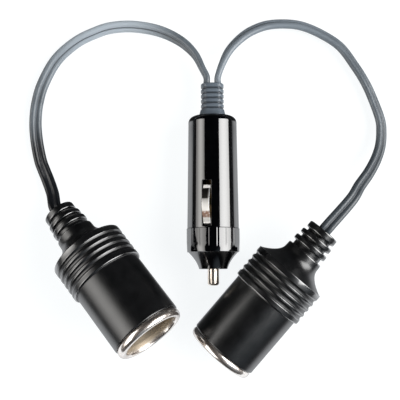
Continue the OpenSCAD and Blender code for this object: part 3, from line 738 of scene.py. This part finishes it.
# Plug body
BODY_REAR_R = 9.6
BODY_FRONT_R = 10.15
BODY_ROUND = 2.6
SPIGOT_R = 6.5
SPIGOT_LEN = 7.4
SPIGOT_ROOM = 0.12
FUSE_BORE_R = 3.487
CHAMBER_R = 7.4
CHAMBER_FRONT = 15.13
REAR_WALL = 2.2
SLOT_W = 3.6
SLOT_FROM = 26.3
SLOT_TO = 44.1
SLOT_ROUND = 0.5
SLOT_LIP = 0.15
POCKET_FRONT_R = 7.2
POCKET_REAR_R = 4.8
POCKET_STEP = 35.9
PITCH = 1.5
SHOULDER_R = SPIGOT_R + 0.5
SPIGOT_SPARE = 1.2
TUBE_SIDES = 144
# A window in the tube: columns to each side of its middle, rows, ends, and how far past the slot's
# ends the rows of its two sides are stretched
WINDOW_REACH = 7
WINDOW_ROWS = 33
WINDOW = (SLOT_FROM - 1.4, SLOT_TO + 0.2)
SIDE_STRETCH = 0.9


def body_r(z):
    """Radius of the tube, which grows evenly from the rear rounding to the seam."""
    share = (z - BODY_ROUND) / (SEAM_Z - BODY_ROUND)
    return BODY_REAR_R + (BODY_FRONT_R - BODY_REAR_R) * share


def plug_body():
    """Turned tube whose outer wall has two windows. In a window, loops run from the wall's own grid
    to a rounded oblong, roll over its lip, and drop to the pocket's floor, which is deeper behind
    the step, where a pressed contact goes in.

    A point of a loop is given by its sideways distance y and station z on the outer wall, and sits
    at (sqrt(r(z)^2 - y^2) - drop, y, z), where the drop is a quarter circle over the lip.
    """
    mid, half = sum(WINDOW) / 2, (WINDOW[1] - WINDOW[0]) / 2
    rows = mid - half * np.cos(np.linspace(0, pi, WINDOW_ROWS))
    spigot_z = SEAM_Z - SPIGOT_LEN - SPIGOT_SPARE
    rear = rounded([(0, 0, 0), (BODY_REAR_R, 0, BODY_ROUND), (body_r(20), 20, 0)], 14)[:-1]
    front = rounded(
        [
            (body_r(WINDOW[1]), WINDOW[1], 0), (BODY_FRONT_R, SEAM_Z, 0.18),
            (SHOULDER_R, SEAM_Z, 0),
        ],
        4, 0.03,
    )[1:]
    inner = rounded(
        [
            (SHOULDER_R, SEAM_Z, 0), (SPIGOT_R + SPIGOT_ROOM, SEAM_Z, 0.3),
            (SPIGOT_R + SPIGOT_ROOM, spigot_z, 0.1), (FUSE_BORE_R, spigot_z, 0.2),
            (FUSE_BORE_R, CHAMBER_FRONT, 0.2), (CHAMBER_R, CHAMBER_FRONT, 0.1),
            (CHAMBER_R, REAR_WALL, 0.5), (0, REAR_WALL, 0),
        ],
        4,
    )[1:]
    behind = np.linspace(BODY_ROUND + 0.6, WINDOW[0], 12)[:-1]
    plain = [z for z in behind if z > rear[-1][1] + 0.3]
    wall = np.array([[body_r(z), z, 0.0] for z in (*plain, *rows)])
    line = np.vstack([rear, wall, front, inner])
    first = len(rear) + len(plain)
    last = first + WINDOW_ROWS - 1
    faces = grid(len(line), TUBE_SIDES).reshape(-1, TUBE_SIDES, 4)
    keep = np.ones(faces.shape[:2], bool)
    middles = (0, TUBE_SIDES // 2)
    for centre in middles:
        keep[first:last, (centre + np.arange(-WINDOW_REACH, WINDOW_REACH)) % TUBE_SIDES] = False
    shape = Shape()
    shape.add(turned(line, TUBE_SIDES), faces[keep], np.repeat(line[:, 2], TUBE_SIDES))
    for centre, sign in zip(middles, (1.0, -1.0)):
        add_window(shape, line, first, last, centre, sign)
    return shape


def oblong(a, b, grow):
    """Outline of the slot grown outwards: (a, b) on the rim of the square from -1 to 1 is scaled to
    the oblong, then pulled to the corner's circle where it lies past the corner's centre."""
    hw, hl, rho = SLOT_W / 2 + grow, (SLOT_TO - SLOT_FROM) / 2 + grow, SLOT_ROUND + grow
    p = np.stack([a * hw, b * hl], -1)
    core = np.clip(p, [-(hw - rho), -(hl - rho)], [hw - rho, hl - rho])
    away = p - core
    size = norm(away, axis=-1, keepdims=True)
    return core + away / np.where(size > 0, size, 1) * rho


def add_window(shape, line, first, last, centre, sign):
    """Loops of one window, whose outer loop is made of the wall's own points."""
    reach, sides = WINDOW_REACH, TUBE_SIDES
    cols = np.arange(-reach, reach + 1)
    rows = np.arange(first, last + 1)
    loop = [(first, c) for c in cols[:-1]] + [(r, reach) for r in rows[:-1]]
    loop += [(last, c) for c in cols[:0:-1]] + [(r, -reach) for r in rows[:0:-1]]
    loop = np.array(loop)
    outer = loop[:, 0] * sides + (loop[:, 1] + centre) % sides
    z_low, z_high = line[first][1], line[last][1]
    middle, half = (SLOT_TO + SLOT_FROM) / 2, (SLOT_TO - SLOT_FROM) / 2
    z = line[loop[:, 0], 1]
    y = body_r(z) * np.sin(loop[:, 1] * 2 * pi / sides)
    a = loop[:, 1] / reach
    b = 2 * (z - z_low) / (z_high - z_low) - 1
    b = np.where(np.abs(a) >= 1, np.clip(b * (half + SIDE_STRETCH) / half, -1, 1), b)
    rings, values = [], []

    def wall_x(yz):
        return np.sqrt(body_r(yz[:, 1]) ** 2 - yz[:, 0] ** 2)

    def level(yz, drop, edge):
        rings.append(np.column_stack([wall_x(yz) - drop, yz]))
        values.append(np.full(len(yz), edge))

    def at(grow):
        return oblong(a, b, grow) + [0, middle]

    rim = at(SLOT_LIP)
    for s in (0.4, 0.8):
        level(np.stack([y, z], -1) * (1 - s) + rim * s, 0.0, 0.0)
    for turn in np.linspace(0, pi / 2, 5):
        grow = SLOT_LIP * (1 - sin(turn))
        level(at(grow), SLOT_LIP * (1 - cos(turn)), 1.0 if turn else 0.0)
    hole = at(0.0)
    ground = np.where(hole[:, 1] < POCKET_STEP, POCKET_REAR_R, POCKET_FRONT_R)
    for depth in (0.3, 0.97, 1.0):
        x = wall_x(hole) - SLOT_LIP
        rings.append(np.column_stack([x + (ground - x) * depth, hole]))
        values.append(np.full(len(hole), -1.0 if depth > 0.9 else 0.0))
    points = np.stack(rings)
    points[..., 0:2] *= sign
    count = len(loop)
    base = shape.add(points, grid(len(rings), count), np.stack(values))
    k = np.arange(count)
    nxt = (k + 1) % count
    shape.faces += np.stack([outer[k], outer[nxt], base + nxt, base + k], -1).tolist()
    # The floor: a strip between the two sides for each row, and a cap at each end
    floor_base = base + (len(rings) - 1) * count
    steps = last - first
    for i in range(steps):
        right, left = 2 * reach + i, (count - i) % count
        shape.faces.append([floor_base + v for v in (right, right + 1, count - i - 1, left)])
    for low in (0, 2 * reach + steps):
        shape.faces.append([floor_base + v for v in range(low, low + 2 * reach + 1)])


make("plug_tube", plug_body(), PLUG, "body_plastic", "root", "plug_body", 35)


# Nose cap with its screwed spigot
RING_R = 10.45
RING_LEN = 9.4
RING_BAND = 0.6
RING_DRAFT = 0.25
CONE_LEN = 6.5
CONE_END_R = 5.55
CONE_BEND = 0.6
PIN_R = 2.25
THREAD_DEPTH = 0.42
THREAD_ROWS = 90
CAP_SIDES = 288
# The ring's front corner, the step from it to the cone, and the hole for the pin with its chamfer
RING_LIP = 0.05
CONE_STEP = 0.5
HOLE_DEPTH, HOLE_R, CHAMFER_R, CHAMFER_LEN = 1.3, PIN_R + 0.12, PIN_R + 0.25, 0.3
# Grip of the ring: how many grooves, angle of the first, half width in degrees, depth, how far the
# faces between them are flattened, and where both fade out
GRIP_COUNT = 18
GRIP_FIRST = 16.25
GRIP_HALF = 2.5
GRIP_DEPTH = 0.188
GRIP_FLAT = 0.1
GRIP_FADE = (51.0, 52.4)
# Stations of the extra rows that the grip and its fading need
GRIP_ROWS = (45.2, 46.5)
FADE_ROWS = np.arange(50.9, 53.0, 0.35)


def nose_cap():
    """Turned cap: ring, hollow cone, flat end with the pin's hole, bore and spigot.

    The cone's radius falls by a straight share and by the square of the length that is left. On the
    spigot the radius grows from the thread's root by its depth times a trapezoid wave of
    station / pitch - angle / turn, which runs as a right-hand helix. Along the ring, shallow grip
    grooves of the form (1 + cos) / 2 lie between faces flattened by 1 - u^2, where u goes from -1
    to 1 across a face. Both fade out before the cone.
    """
    ring_z = SEAM_Z + RING_LEN
    band_z = SEAM_Z + RING_LEN * RING_BAND
    lip_z = ring_z - RING_LIP
    end_z = ring_z + CONE_LEN
    low = RING_R - RING_DRAFT - CONE_STEP
    root_r, spigot_z = SPIGOT_R - THREAD_DEPTH, SEAM_Z - SPIGOT_LEN
    drafted = [(RING_R - RING_DRAFT * (z - band_z) / (lip_z - band_z), z, 0) for z in FADE_ROWS]
    t = np.linspace(0, 1, 22)[1:-1]
    fall = CONE_END_R + (low - CONE_END_R) * ((1 - CONE_BEND) * (1 - t) + CONE_BEND * (1 - t) ** 2)
    outline = rounded(
        [
            (FUSE_BORE_R, end_z - HOLE_DEPTH, 0), (FUSE_BORE_R, spigot_z, 0.2),
            (root_r, spigot_z, 0.3), (root_r, SEAM_Z, 0.15), (RING_R, SEAM_Z, 0.3),
            *[(RING_R, z, 0) for z in GRIP_ROWS], (RING_R, band_z, 1.5), *drafted,
            (RING_R - RING_DRAFT, lip_z, 0.45), (low, ring_z, 0.1),
            *[(r, ring_z + CONE_LEN * s, 0) for r, s in zip(fall, t)],
            (CONE_END_R, end_z, 0.15), (CHAMFER_R, end_z, 0.15), (HOLE_R, end_z - CHAMFER_LEN, 0),
            (HOLE_R, end_z - HOLE_DEPTH, 0),
        ],
        5, 0.1,
    )
    spigot = (np.abs(outline[:, 0] - root_r) < 0.01) & (outline[:, 1] < SEAM_Z - 0.1)
    k = np.where(spigot)[0]
    rows = np.linspace(outline[k[0], 1], outline[k[-1], 1], THREAD_ROWS)
    thread = np.stack([np.full(THREAD_ROWS, root_r), rows, np.zeros(THREAD_ROWS)], -1)
    line = np.vstack([outline[: k[0]], thread, outline[k[-1] + 1:]])
    shape = lathe(line, CAP_SIDES, closed=True)
    points = shape.points.reshape(len(line), CAP_SIDES, 3)
    z = rows[:, None]
    wave = (z / PITCH - np.arange(CAP_SIDES)[None, :] / CAP_SIDES) % 1.0
    crest = np.clip((0.5 - np.abs(wave - 0.5)) * 4.0 - 0.5, 0, 1)
    fade = np.clip((z - rows[0]) / 1.2, 0, 1) * np.clip((rows[-1] - z) / 1.0, 0, 1)
    scale = 1 + THREAD_DEPTH * crest * fade / root_r
    points[k[0]:k[0] + THREAD_ROWS, :, 0:2] *= scale[..., None]
    ring = (line[:, 0] > RING_R - 0.4) & (line[:, 1] < ring_z - 0.5)
    z = line[ring, 1:2]
    comes = np.clip((z - SEAM_Z) / 0.3, 0, 1)
    goes = np.clip((GRIP_FADE[1] - z) / (GRIP_FADE[1] - GRIP_FADE[0]), 0, 1)
    face = 360 / GRIP_COUNT
    angle = 360 / CAP_SIDES * np.arange(CAP_SIDES)
    away = (angle - GRIP_FIRST + face / 2) % face - face / 2
    groove = 0.5 + 0.5 * np.cos(pi * np.clip(away / GRIP_HALF, -1, 1))
    u = 1 - np.abs(away) * 2 / face
    sunk = GRIP_DEPTH * groove + GRIP_FLAT * (1 - u**2)
    points[ring, :, 0:2] *= (1 - comes * goes * sunk / RING_R)[..., None]
    return shape


make("screwed_nose", nose_cap(), PLUG, "body_plastic", "cap", "nose_cap", 35)


# Pin: how far it stands out, its length, and the flange behind the nose
PIN_OUT = 6.4
PIN_LEN = 9.1
FLANGE_R = FUSE_BORE_R - 0.12
FLANGE_T = 1.4


def centre_pin():
    """Turned pin: a flange behind the nose, a shank and a domed tip."""
    tip = SEAM_Z + RING_LEN + CONE_LEN + PIN_OUT
    flange_z = tip - PIN_LEN
    corners = [
        (0, flange_z, 0), (FLANGE_R, flange_z, 0.2), (FLANGE_R, flange_z + FLANGE_T, 0.2),
        (PIN_R, flange_z + FLANGE_T, 0.1), (PIN_R, tip, 1.1), (0, tip, 0),
    ]
    return lathe(rounded(corners, 8), 96)


make("sprung_pin", centre_pin(), PLUG, "pin_metal", "fuse_and_pin", "centre_pin")


# Spring behind the fuse
SPRING_REAR = 16.25
SPRING_FRONT = 25.78
SPRING_R = 2.4
SPRING_TURNS = 7
WIRE_R = 0.32
# Turns that lie flat at each end, steps along one turn and sides of the wire
SPRING_FLAT = 0.5
SPRING_STEPS = 40
WIRE_SIDES = 14


def pin_spring():
    """Round wire carried along a helix (r cos a, r sin a, z). The height z rises evenly with the
    angle a, but stays flat for the first and the last half turn."""
    turn = np.linspace(0, SPRING_TURNS, SPRING_STEPS * SPRING_TURNS + 1)
    a = 2 * pi * turn
    rise = SPRING_FRONT - SPRING_REAR - 2 * WIRE_R
    share = np.clip((turn - SPRING_FLAT) / (SPRING_TURNS - 2 * SPRING_FLAT), 0, 1)
    out = np.stack([np.cos(a), np.sin(a), 0 * a], -1)
    up = np.tile([0.0, 0.0, 1.0], (len(turn), 1))
    path = SPRING_R * out + (SPRING_REAR + WIRE_R + rise * share)[:, None] * up
    b = 2 * pi * np.arange(WIRE_SIDES) / WIRE_SIDES
    return loft(carried(path, WIRE_R * np.stack([np.cos(b), np.sin(b)], -1), out, up))


spring = make("coil_spring", pin_spring(), PLUG, "spring_steel", "spring_seat", "pin_spring")
press = joints["pin_press"]["range_m"][1] / MM
tuple(PLUG.put(np.array([0, 0, SPRING_REAR])) * MM)
1 - press / (SPRING_FRONT - SPRING_REAR)
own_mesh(spring)


# Side contacts
STRIP_W = 2.8
STRIP_T = 0.4
STRIP_FRONT = 43.4
STRIP_REAR = 28.1
CREST_R = 11.95
STRIP_END_R = 9.6
CURL = 0.9
STRIP_ROOT_R = 7.83
STRIP_ROUND = 0.12
BOW_ROWS = 29
STRIP_ROWS = 110


def side_contact(sign):
    """Bowed strip: a flat section with rounded edges carried along the bow, whose radius is the end
    radius plus the rise times the sine of the share of its length, and curled in at both ends."""
    u = np.linspace(0, 1, BOW_ROWS)
    span = STRIP_FRONT - 2 * CURL - STRIP_REAR
    bow_r = STRIP_END_R + (CREST_R - STRIP_END_R) * np.sin(pi * u)
    bow = np.stack([bow_r, STRIP_REAR + CURL + span * u], -1)
    curl = np.array([
        [STRIP_END_R - 1.6 * CURL, STRIP_REAR + 0.3 * CURL],
        [STRIP_END_R - 0.8 * CURL, STRIP_REAR],
        [STRIP_END_R - 0.2 * CURL, STRIP_REAR + STRIP_T],
    ])
    root = np.array([
        [STRIP_END_R - 0.3 * CURL, STRIP_FRONT - STRIP_T / 2], [STRIP_ROOT_R, STRIP_FRONT]
    ])
    line = smooth_through(np.vstack([curl, bow, root]), STRIP_ROWS)
    way = unit(np.gradient(line, axis=0))
    inward = np.stack([-way[:, 1], way[:, 0]], -1)
    hw, ht = STRIP_W / 2, STRIP_T / 2
    corners = [(x, y, STRIP_ROUND) for x, y in ((-hw, -ht), (hw, -ht), (hw, ht), (-hw, ht))]
    flat = rounded(corners, 3, closed=True)
    across = np.tile([0.0, 1.0, 0.0], (len(line), 1))
    upright = np.array([[1.0, 0.0, 0.0], [0.0, 0.0, 1.0]])
    points = carried((line + inward * ht) @ upright, flat, across, inward @ upright)
    return loft(points * [sign, sign, 1.0], np.tile(flat[:, 2], (len(line), 1)))


for place, sign in (("lower", 1.0), ("upper", -1.0)):
    make(
        place + "_spring_strip", side_contact(sign), PLUG, "strip_metal", place + "_contact",
        place + "_side_contact",
    )


# Boot of the two cords
BOOT_W = 9.1
BOOT_H = 7.6
BOOT_ROUND = 0.45
# The flare grows from a station over a length, as the power of the share that is covered
BOOT_FLARE = 0.75
FLARE_FROM, FLARE_LEN, FLARE_POWER = -4.6, 4.0, 1.8
# Where each groove starts, from the boot's free end
GROOVES = [1.6 + 2.0 * i for i in range(5)]
# Half of one groove: distance from its start, depth and edge value. The other half mirrors it
GROOVE_HALF = [
    (-0.14, 0.0, 0.0), (-0.06, 0.02, 1.0), (0.02, 0.1, 0.6), (0.12, 0.33, -1.0), (0.22, 0.4, -1.0),
]
GROOVE_LINE = GROOVE_HALF + [(0.9 - z, drop, edge) for z, drop, edge in GROOVE_HALF[::-1]]
# Rows that turn the flare in towards the plug: station, growth past the flare, edge value
FLARE_END = [(-0.45, 0.02, 1.0), (-0.22, -0.08, 1.0), (-0.1, -0.3, 0.0), (0.3, -0.5, -1.0)]


def boot_section(grow, steps=96):
    """Outline of the boot: a circle as wide as the boot whose height x is eased down to the flats
    at h, as x / (1 + (x / h)^12)^(1/12)."""
    angle = 2 * pi * np.arange(steps) / steps
    x, y = (BOOT_W / 2 + grow) * np.cos(angle), (BOOT_W / 2 + grow) * np.sin(angle)
    return np.stack([x / (1 + (x / (BOOT_H / 2 + grow)) ** 12) ** (1 / 12), y], -1)


def flare(z):
    """How far the boot's outline has grown at z."""
    return BOOT_FLARE * max(0.0, (z - FLARE_FROM) / FLARE_LEN) ** FLARE_POWER


def plug_boot():
    """Outline lofted along the boot: it grows into a flare at the plug, and shrinks in each groove
    by a rounded step."""
    rows = []
    for t in np.linspace(0, 1, 5):
        in_z, in_r = 1 - cos(t * pi / 2), 1 - sin(t * pi / 2)
        rows.append((-BOOT_LEN + BOOT_ROUND * in_z, -BOOT_ROUND * in_r, 1.0))
    for groove in GROOVES:
        for step, drop, value in GROOVE_LINE:
            z = -BOOT_LEN + groove + step
            rows.append((z, flare(z) - drop, value))
    rows += [(z, flare(z), 0.0) for z in np.linspace(-2.4, -0.8, 5)]
    rows += [(z, BOOT_FLARE + grow, value) for z, grow, value in FLARE_END]
    rows.append((REAR_WALL, 0.0, 0.0))
    stations, grow, edge = np.array(rows).T
    rings = np.stack([boot_section(g) for g in grow])
    cols = rings.shape[1]
    along = np.repeat(stations[:, None], cols, 1)[..., None]
    return loft(np.concatenate([rings, along], -1), np.repeat(edge[:, None], cols, 1))


make("twin_boot", plug_boot(), PLUG_UPRIGHT, "soft_plastic", "root", "plug_boot", 50)


# Sockets
BARREL_R = 14.05
BARREL_LEN = 25.7
RIB_R = 15.05
GRIP_LEN = 14.2
RIB_PITCH = 0.187 * GRIP_LEN
RIB_DEPTH = 0.55
# The first groove's middle and half its width, in pitches
RIB_FIRST, RIB_HALF = 1.1, 0.36
LINER_SEAT = 6
# The relief's four bands: starts and ends as shares of its length, and the radii of the bands and
# of the cores between them as shares of its own
BAND_STARTS, BAND_ENDS = (0, 0.31, 0.56, 0.80), (0.17, 0.47, 0.71, 1)
BAND_R, CORE_R = (1.2, 1.155, 1.09, 1), (0.97, 0.87, 0.81)
NECK_LEN = 6.7
NECK_R = 7.8
NECK_TOP_R = 14.45
RELIEF_R = 6.4
LINER_R = 10.65
LINER_WALL = 0.7
DISC_Z = -7.1
DISC_T = 1.8
RIM_Z = 28.9
RIM_R = 13.85
RIM_BEAD = 1.15
BEAD_R, BEAD_Z = 1.3, 1.7
RIM_MOUTH_R = 11.4
BORE_Z = -4.9
LINER_NECK = 0.35
NECK_IN_Z = BORE_Z - 0.7
DISC_BACK = DISC_Z - DISC_T
# Hole for the rivet, and the button that it holds
HOLE_FOR_RIVET = 1.3
BUTTON_TOP = DISC_Z + 1.3
RIVET_R, SHANK_R = 2.3, 1.25


def housing():
    """Turned moulding: barrel, ribbed grip, a neck whose radius grows with the square of its
    length's share, and a strain relief of four bands on a narrower core."""
    neck_z = -GRIP_LEN - NECK_LEN
    relief_len = -RELIEF_Z + neck_z
    seat_r, seat_z = LINER_R + LINER_WALL, BARREL_LEN - LINER_SEAT
    corners = [
        (0, seat_z, 0), (seat_r, seat_z, 0), (seat_r, BARREL_LEN, 0.1),
        (BARREL_R, BARREL_LEN, 0.45), (BARREL_R, 0, 0.25), (RIB_R, 0, 0.42),
    ]
    half = RIB_HALF * RIB_PITCH
    for i in range(4):
        z = -RIB_FIRST * RIB_PITCH - i * RIB_PITCH
        corners += [(RIB_R, z + half, 0.3), (RIB_R - RIB_DEPTH, z + half / 3, 0.3)]
        corners += [(RIB_R - RIB_DEPTH, z - half / 3, 0.3), (RIB_R, z - half, 0.3)]
    corners += [(RIB_R, -GRIP_LEN, 0.75)]
    for t in np.linspace(1, 0, 16)[:-1]:
        r = NECK_R + (NECK_TOP_R - NECK_R) * t * t
        corners.append((r, neck_z + NECK_LEN * t, 0.35 if t == 1 else 0))
    for i in range(4):
        start, end = (neck_z - relief_len * s[i] for s in (BAND_STARTS, BAND_ENDS))
        band = RELIEF_R * BAND_R[i]
        corners += [(band if i else NECK_R, start, 0.45 if i else 0.3), (band, end, 0.45)]
        if i < 3:
            core, after = RELIEF_R * CORE_R[i], neck_z - relief_len * BAND_STARTS[i + 1]
            corners += [(core, end, 0.25), (core, after, 0.25)]
    corners.append((0, RELIEF_Z, 0))
    return lathe(rounded(corners, 4, 0.1), 160)


def liner():
    """Turned can with a bead rolled over the mouth, and a narrower end round the disc. The bead's
    outer side is part of an ellipse, from its seat on the housing to its front."""
    wall = LINER_R + LINER_WALL
    seat_z = BARREL_LEN + 0.02
    turns = np.radians(np.linspace(-58, 90, 16))
    bead_r = RIM_R - BEAD_R * (1 - np.cos(turns))
    bead_z = RIM_Z - BEAD_Z * (1 - np.sin(turns))
    corners = [
        (LINER_R - LINER_NECK, DISC_BACK, 0.1), (wall - LINER_NECK, DISC_BACK, 0.1),
        (wall - LINER_NECK, NECK_IN_Z, 0.5), (wall, BORE_Z, 0.5), (wall, seat_z, 0.05),
        (bead_r[0], seat_z, 0.05), *[(r, z, 0) for r, z in zip(bead_r, bead_z)],
        (RIM_MOUTH_R, RIM_Z, 0.8), (LINER_R, RIM_Z - 2 * RIM_BEAD - LINER_WALL, 3.0),
        (LINER_R, BORE_Z, 0.4), (LINER_R - LINER_NECK, NECK_IN_Z, 0.4),
    ]
    return lathe(rounded(corners, 8, 0.1, closed=True), 160, closed=True)


def insulator():
    """Turned disc with a broken edge and a hole for the rivet."""
    r = LINER_R - LINER_NECK - 0.05
    corners = [
        (HOLE_FOR_RIVET, DISC_BACK, 0), (r, DISC_BACK, 0.15), (r, DISC_Z, 0.15),
        (HOLE_FOR_RIVET, DISC_Z, 0),
    ]
    return lathe(rounded(corners, 3, closed=True), 96, closed=True)


def button():
    """Pressed contact button with a dished foot."""
    corners = [
        (HOLE_FOR_RIVET, DISC_Z, 0), (4.2, DISC_Z, 0.15), (4.2, DISC_Z + 0.6, 0.25),
        (2.9, BUTTON_TOP, 0.4), (HOLE_FOR_RIVET, BUTTON_TOP, 0),
    ]
    return lathe(rounded(corners, 4, closed=True), 96, closed=True)


def rivet():
    """Turned rivet: a shank between a flat tail and a domed head."""
    back, top = DISC_BACK - 0.6, BUTTON_TOP
    corners = [
        (0, back - 0.7, 0), (RIVET_R, back - 0.7, 0.25), (RIVET_R, back, 0.1),
        (SHANK_R, back, 0.05), (SHANK_R, top, 0.05), (RIVET_R, top, 0.1),
        (RIVET_R, top + 0.35, 0.3), (1.6, top + 0.7, 0.4), (0, top + 0.7, 0),
    ]
    return lathe(rounded(corners, 4), 72)


for side_name, axis in SOCKETS.items():
    for piece_name, shape, slot, node, finish in (
        ("moulding", housing(), "housing_plastic", "housing", None),
        ("rolled_liner", liner(), "liner_metal", "liner", None),
        ("disc", insulator(), "disc_board", "insulator", None),
        ("button", button(), "brass", "centre_contact", BUTTON_BRASS),
        ("button_rivet", rivet(), "tinned_metal", "rivet", RIVET_TIN),
    ):
        name = f"{side_name}_{piece_name}"
        make(name, shape, axis, slot, "root", f"{side_name}_{node}", 35, finish)


# The frame's own nodes that stay take their slot's finish
for row in frame["record"]["subparts"]:
    for place in frame["nodes"][row["node"]].material_slots:
        place.material = FINISHES[row["material_slot"]]


# Floor, lights and background
FLOOR_RADIUS = 3.0
GLOW_FROM, GLOW_TO = 0.16, 0.45


def floor():
    """White floor. The camera sees a pale glow and a soft shadow on it, plain white far away. A
    reflection looks through it at the world's lower half."""
    f = Finish("floor_white", Roughness=0.9, IOR=1.3, Base_Color=(0.8, 0.8, 0.8))
    seen = f.ray("Is Camera Ray")
    far = f.length(f.place()).ramp(GLOW_FROM, GLOW_TO)
    glow = f.node("ShaderNodeEmission", (1.0, 1.0, 1.0), 1.0)
    lift = f.node("ShaderNodeEmission", (0.96, 0.986, 1.0), 0.92)
    dim = f.node("ShaderNodeBsdfDiffuse", (0.17, 0.165, 0.16))
    shaded = f.node("ShaderNodeAddShader", dim, lift)
    plain = Value(f, f.shader.outputs[0])
    clear = f.node("ShaderNodeBsdfTransparent")
    near = f.either(seen, f.either(f.ray("Is Glossy Ray"), plain, clear), shaded)
    f.show(f.either(seen * far, near, glow))
    bpy.ops.mesh.primitive_circle_add(vertices=96, radius=FLOOR_RADIUS, fill_type="NGON")
    plate = bpy.context.object
    plate.name = "floor"
    plate.data.materials.append(f.material)


def softbox(name, high, low, azimuth, width, radiance, colour, middle, spread, dim):
    """Rectangular lamp one metre from the object that faces it, between two angles from the top.
    Its power is pi times its area times the brightness that a reflection of it shows. It has that
    brightness at the angle middle and falls to dim times that spread degrees above and below, as
    (1 - t^2)^2 where t goes from 0 to 1."""
    a, t = radians(azimuth), radians(high + low) / 2
    height = 2 * tan(radians(low - high) / 2)
    way = Vector((sin(t) * cos(a), sin(t) * sin(a), cos(t)))
    rise = Vector((-cos(t) * cos(a), -cos(t) * sin(a), sin(t)))
    data = bpy.data.lights.new(name, "AREA")
    data.shape = "RECTANGLE"
    data.size, data.size_y = width, height
    data.energy = pi * width * height * radiance
    data.color = colour
    n = Nodes(data, "ShaderNodeOutputLight")
    place = n.node("ShaderNodeNewGeometry", out="Position")
    brightest = tan(radians((high + low) / 2 - middle))
    up = (n.dot(place, rise) - brightest) * (1 / tan(radians(spread)))
    fall = (1.0 - up * up).clamp()
    n.show(n.node("ShaderNodeEmission", None, fall * fall * (1.0 - dim) + dim))
    lamp = bpy.data.objects.new(name, data)
    lamp.location = way
    lamp.rotation_euler = way.to_track_quat("Z", "Y").to_euler()
    bpy.context.collection.objects.link(lamp)


# Direction of a bluish glow at the front right, and how bright the table below is at most
FILL_WAY = (0.6, -0.5, 0.62)
BELOW = 1.4


def surroundings():
    """White for the camera. Reflections see a dark ceiling, a bluish glow at the front right, and a
    white table below, which is dark at a low angle and towards the back."""
    world = bpy.data.worlds.new("studio")
    bpy.context.scene.world = world
    n = Nodes(world, "ShaderNodeOutputWorld")
    way = n.node("ShaderNodeTexCoord", out="Generated")
    height = n.split(way, 2)
    table = height.ramp(-0.24, -0.38, 0.0, BELOW) * height.ramp(-0.55, -1.0, 1.0, 0.45)
    table = table * n.split(way, 1).ramp(0.28, 0.1)
    over = height.ramp(0.0, 0.3, 0.05, 0.006) + table
    ceiling = n.node("ShaderNodeBackground", (0.95, 0.97, 1.0), over)
    glow = n.dot(way, FILL_WAY).ramp(0.7, 0.96, 0.0, 0.22)
    blue = n.node("ShaderNodeBackground", (0.72, 0.87, 1.0), glow)
    white = n.node("ShaderNodeBackground", (1.0, 1.0, 1.0), 1.0)
    reflected = n.node("ShaderNodeAddShader", ceiling, blue)
    n.show(n.either(n.ray("Is Camera Ray"), reflected, white))


floor()
surroundings()
softbox("right_softbox", 30, 80, 0, 0.93, 7.9, (1.0, 0.995, 0.985), 52, 30, 0.65)
softbox("left_softbox", 36.5, 83, 190, 1.3, 3.9, (1.0, 0.98, 0.95), 57, 22, 0.4)
bpy.context.scene.view_settings.view_transform = "Standard"
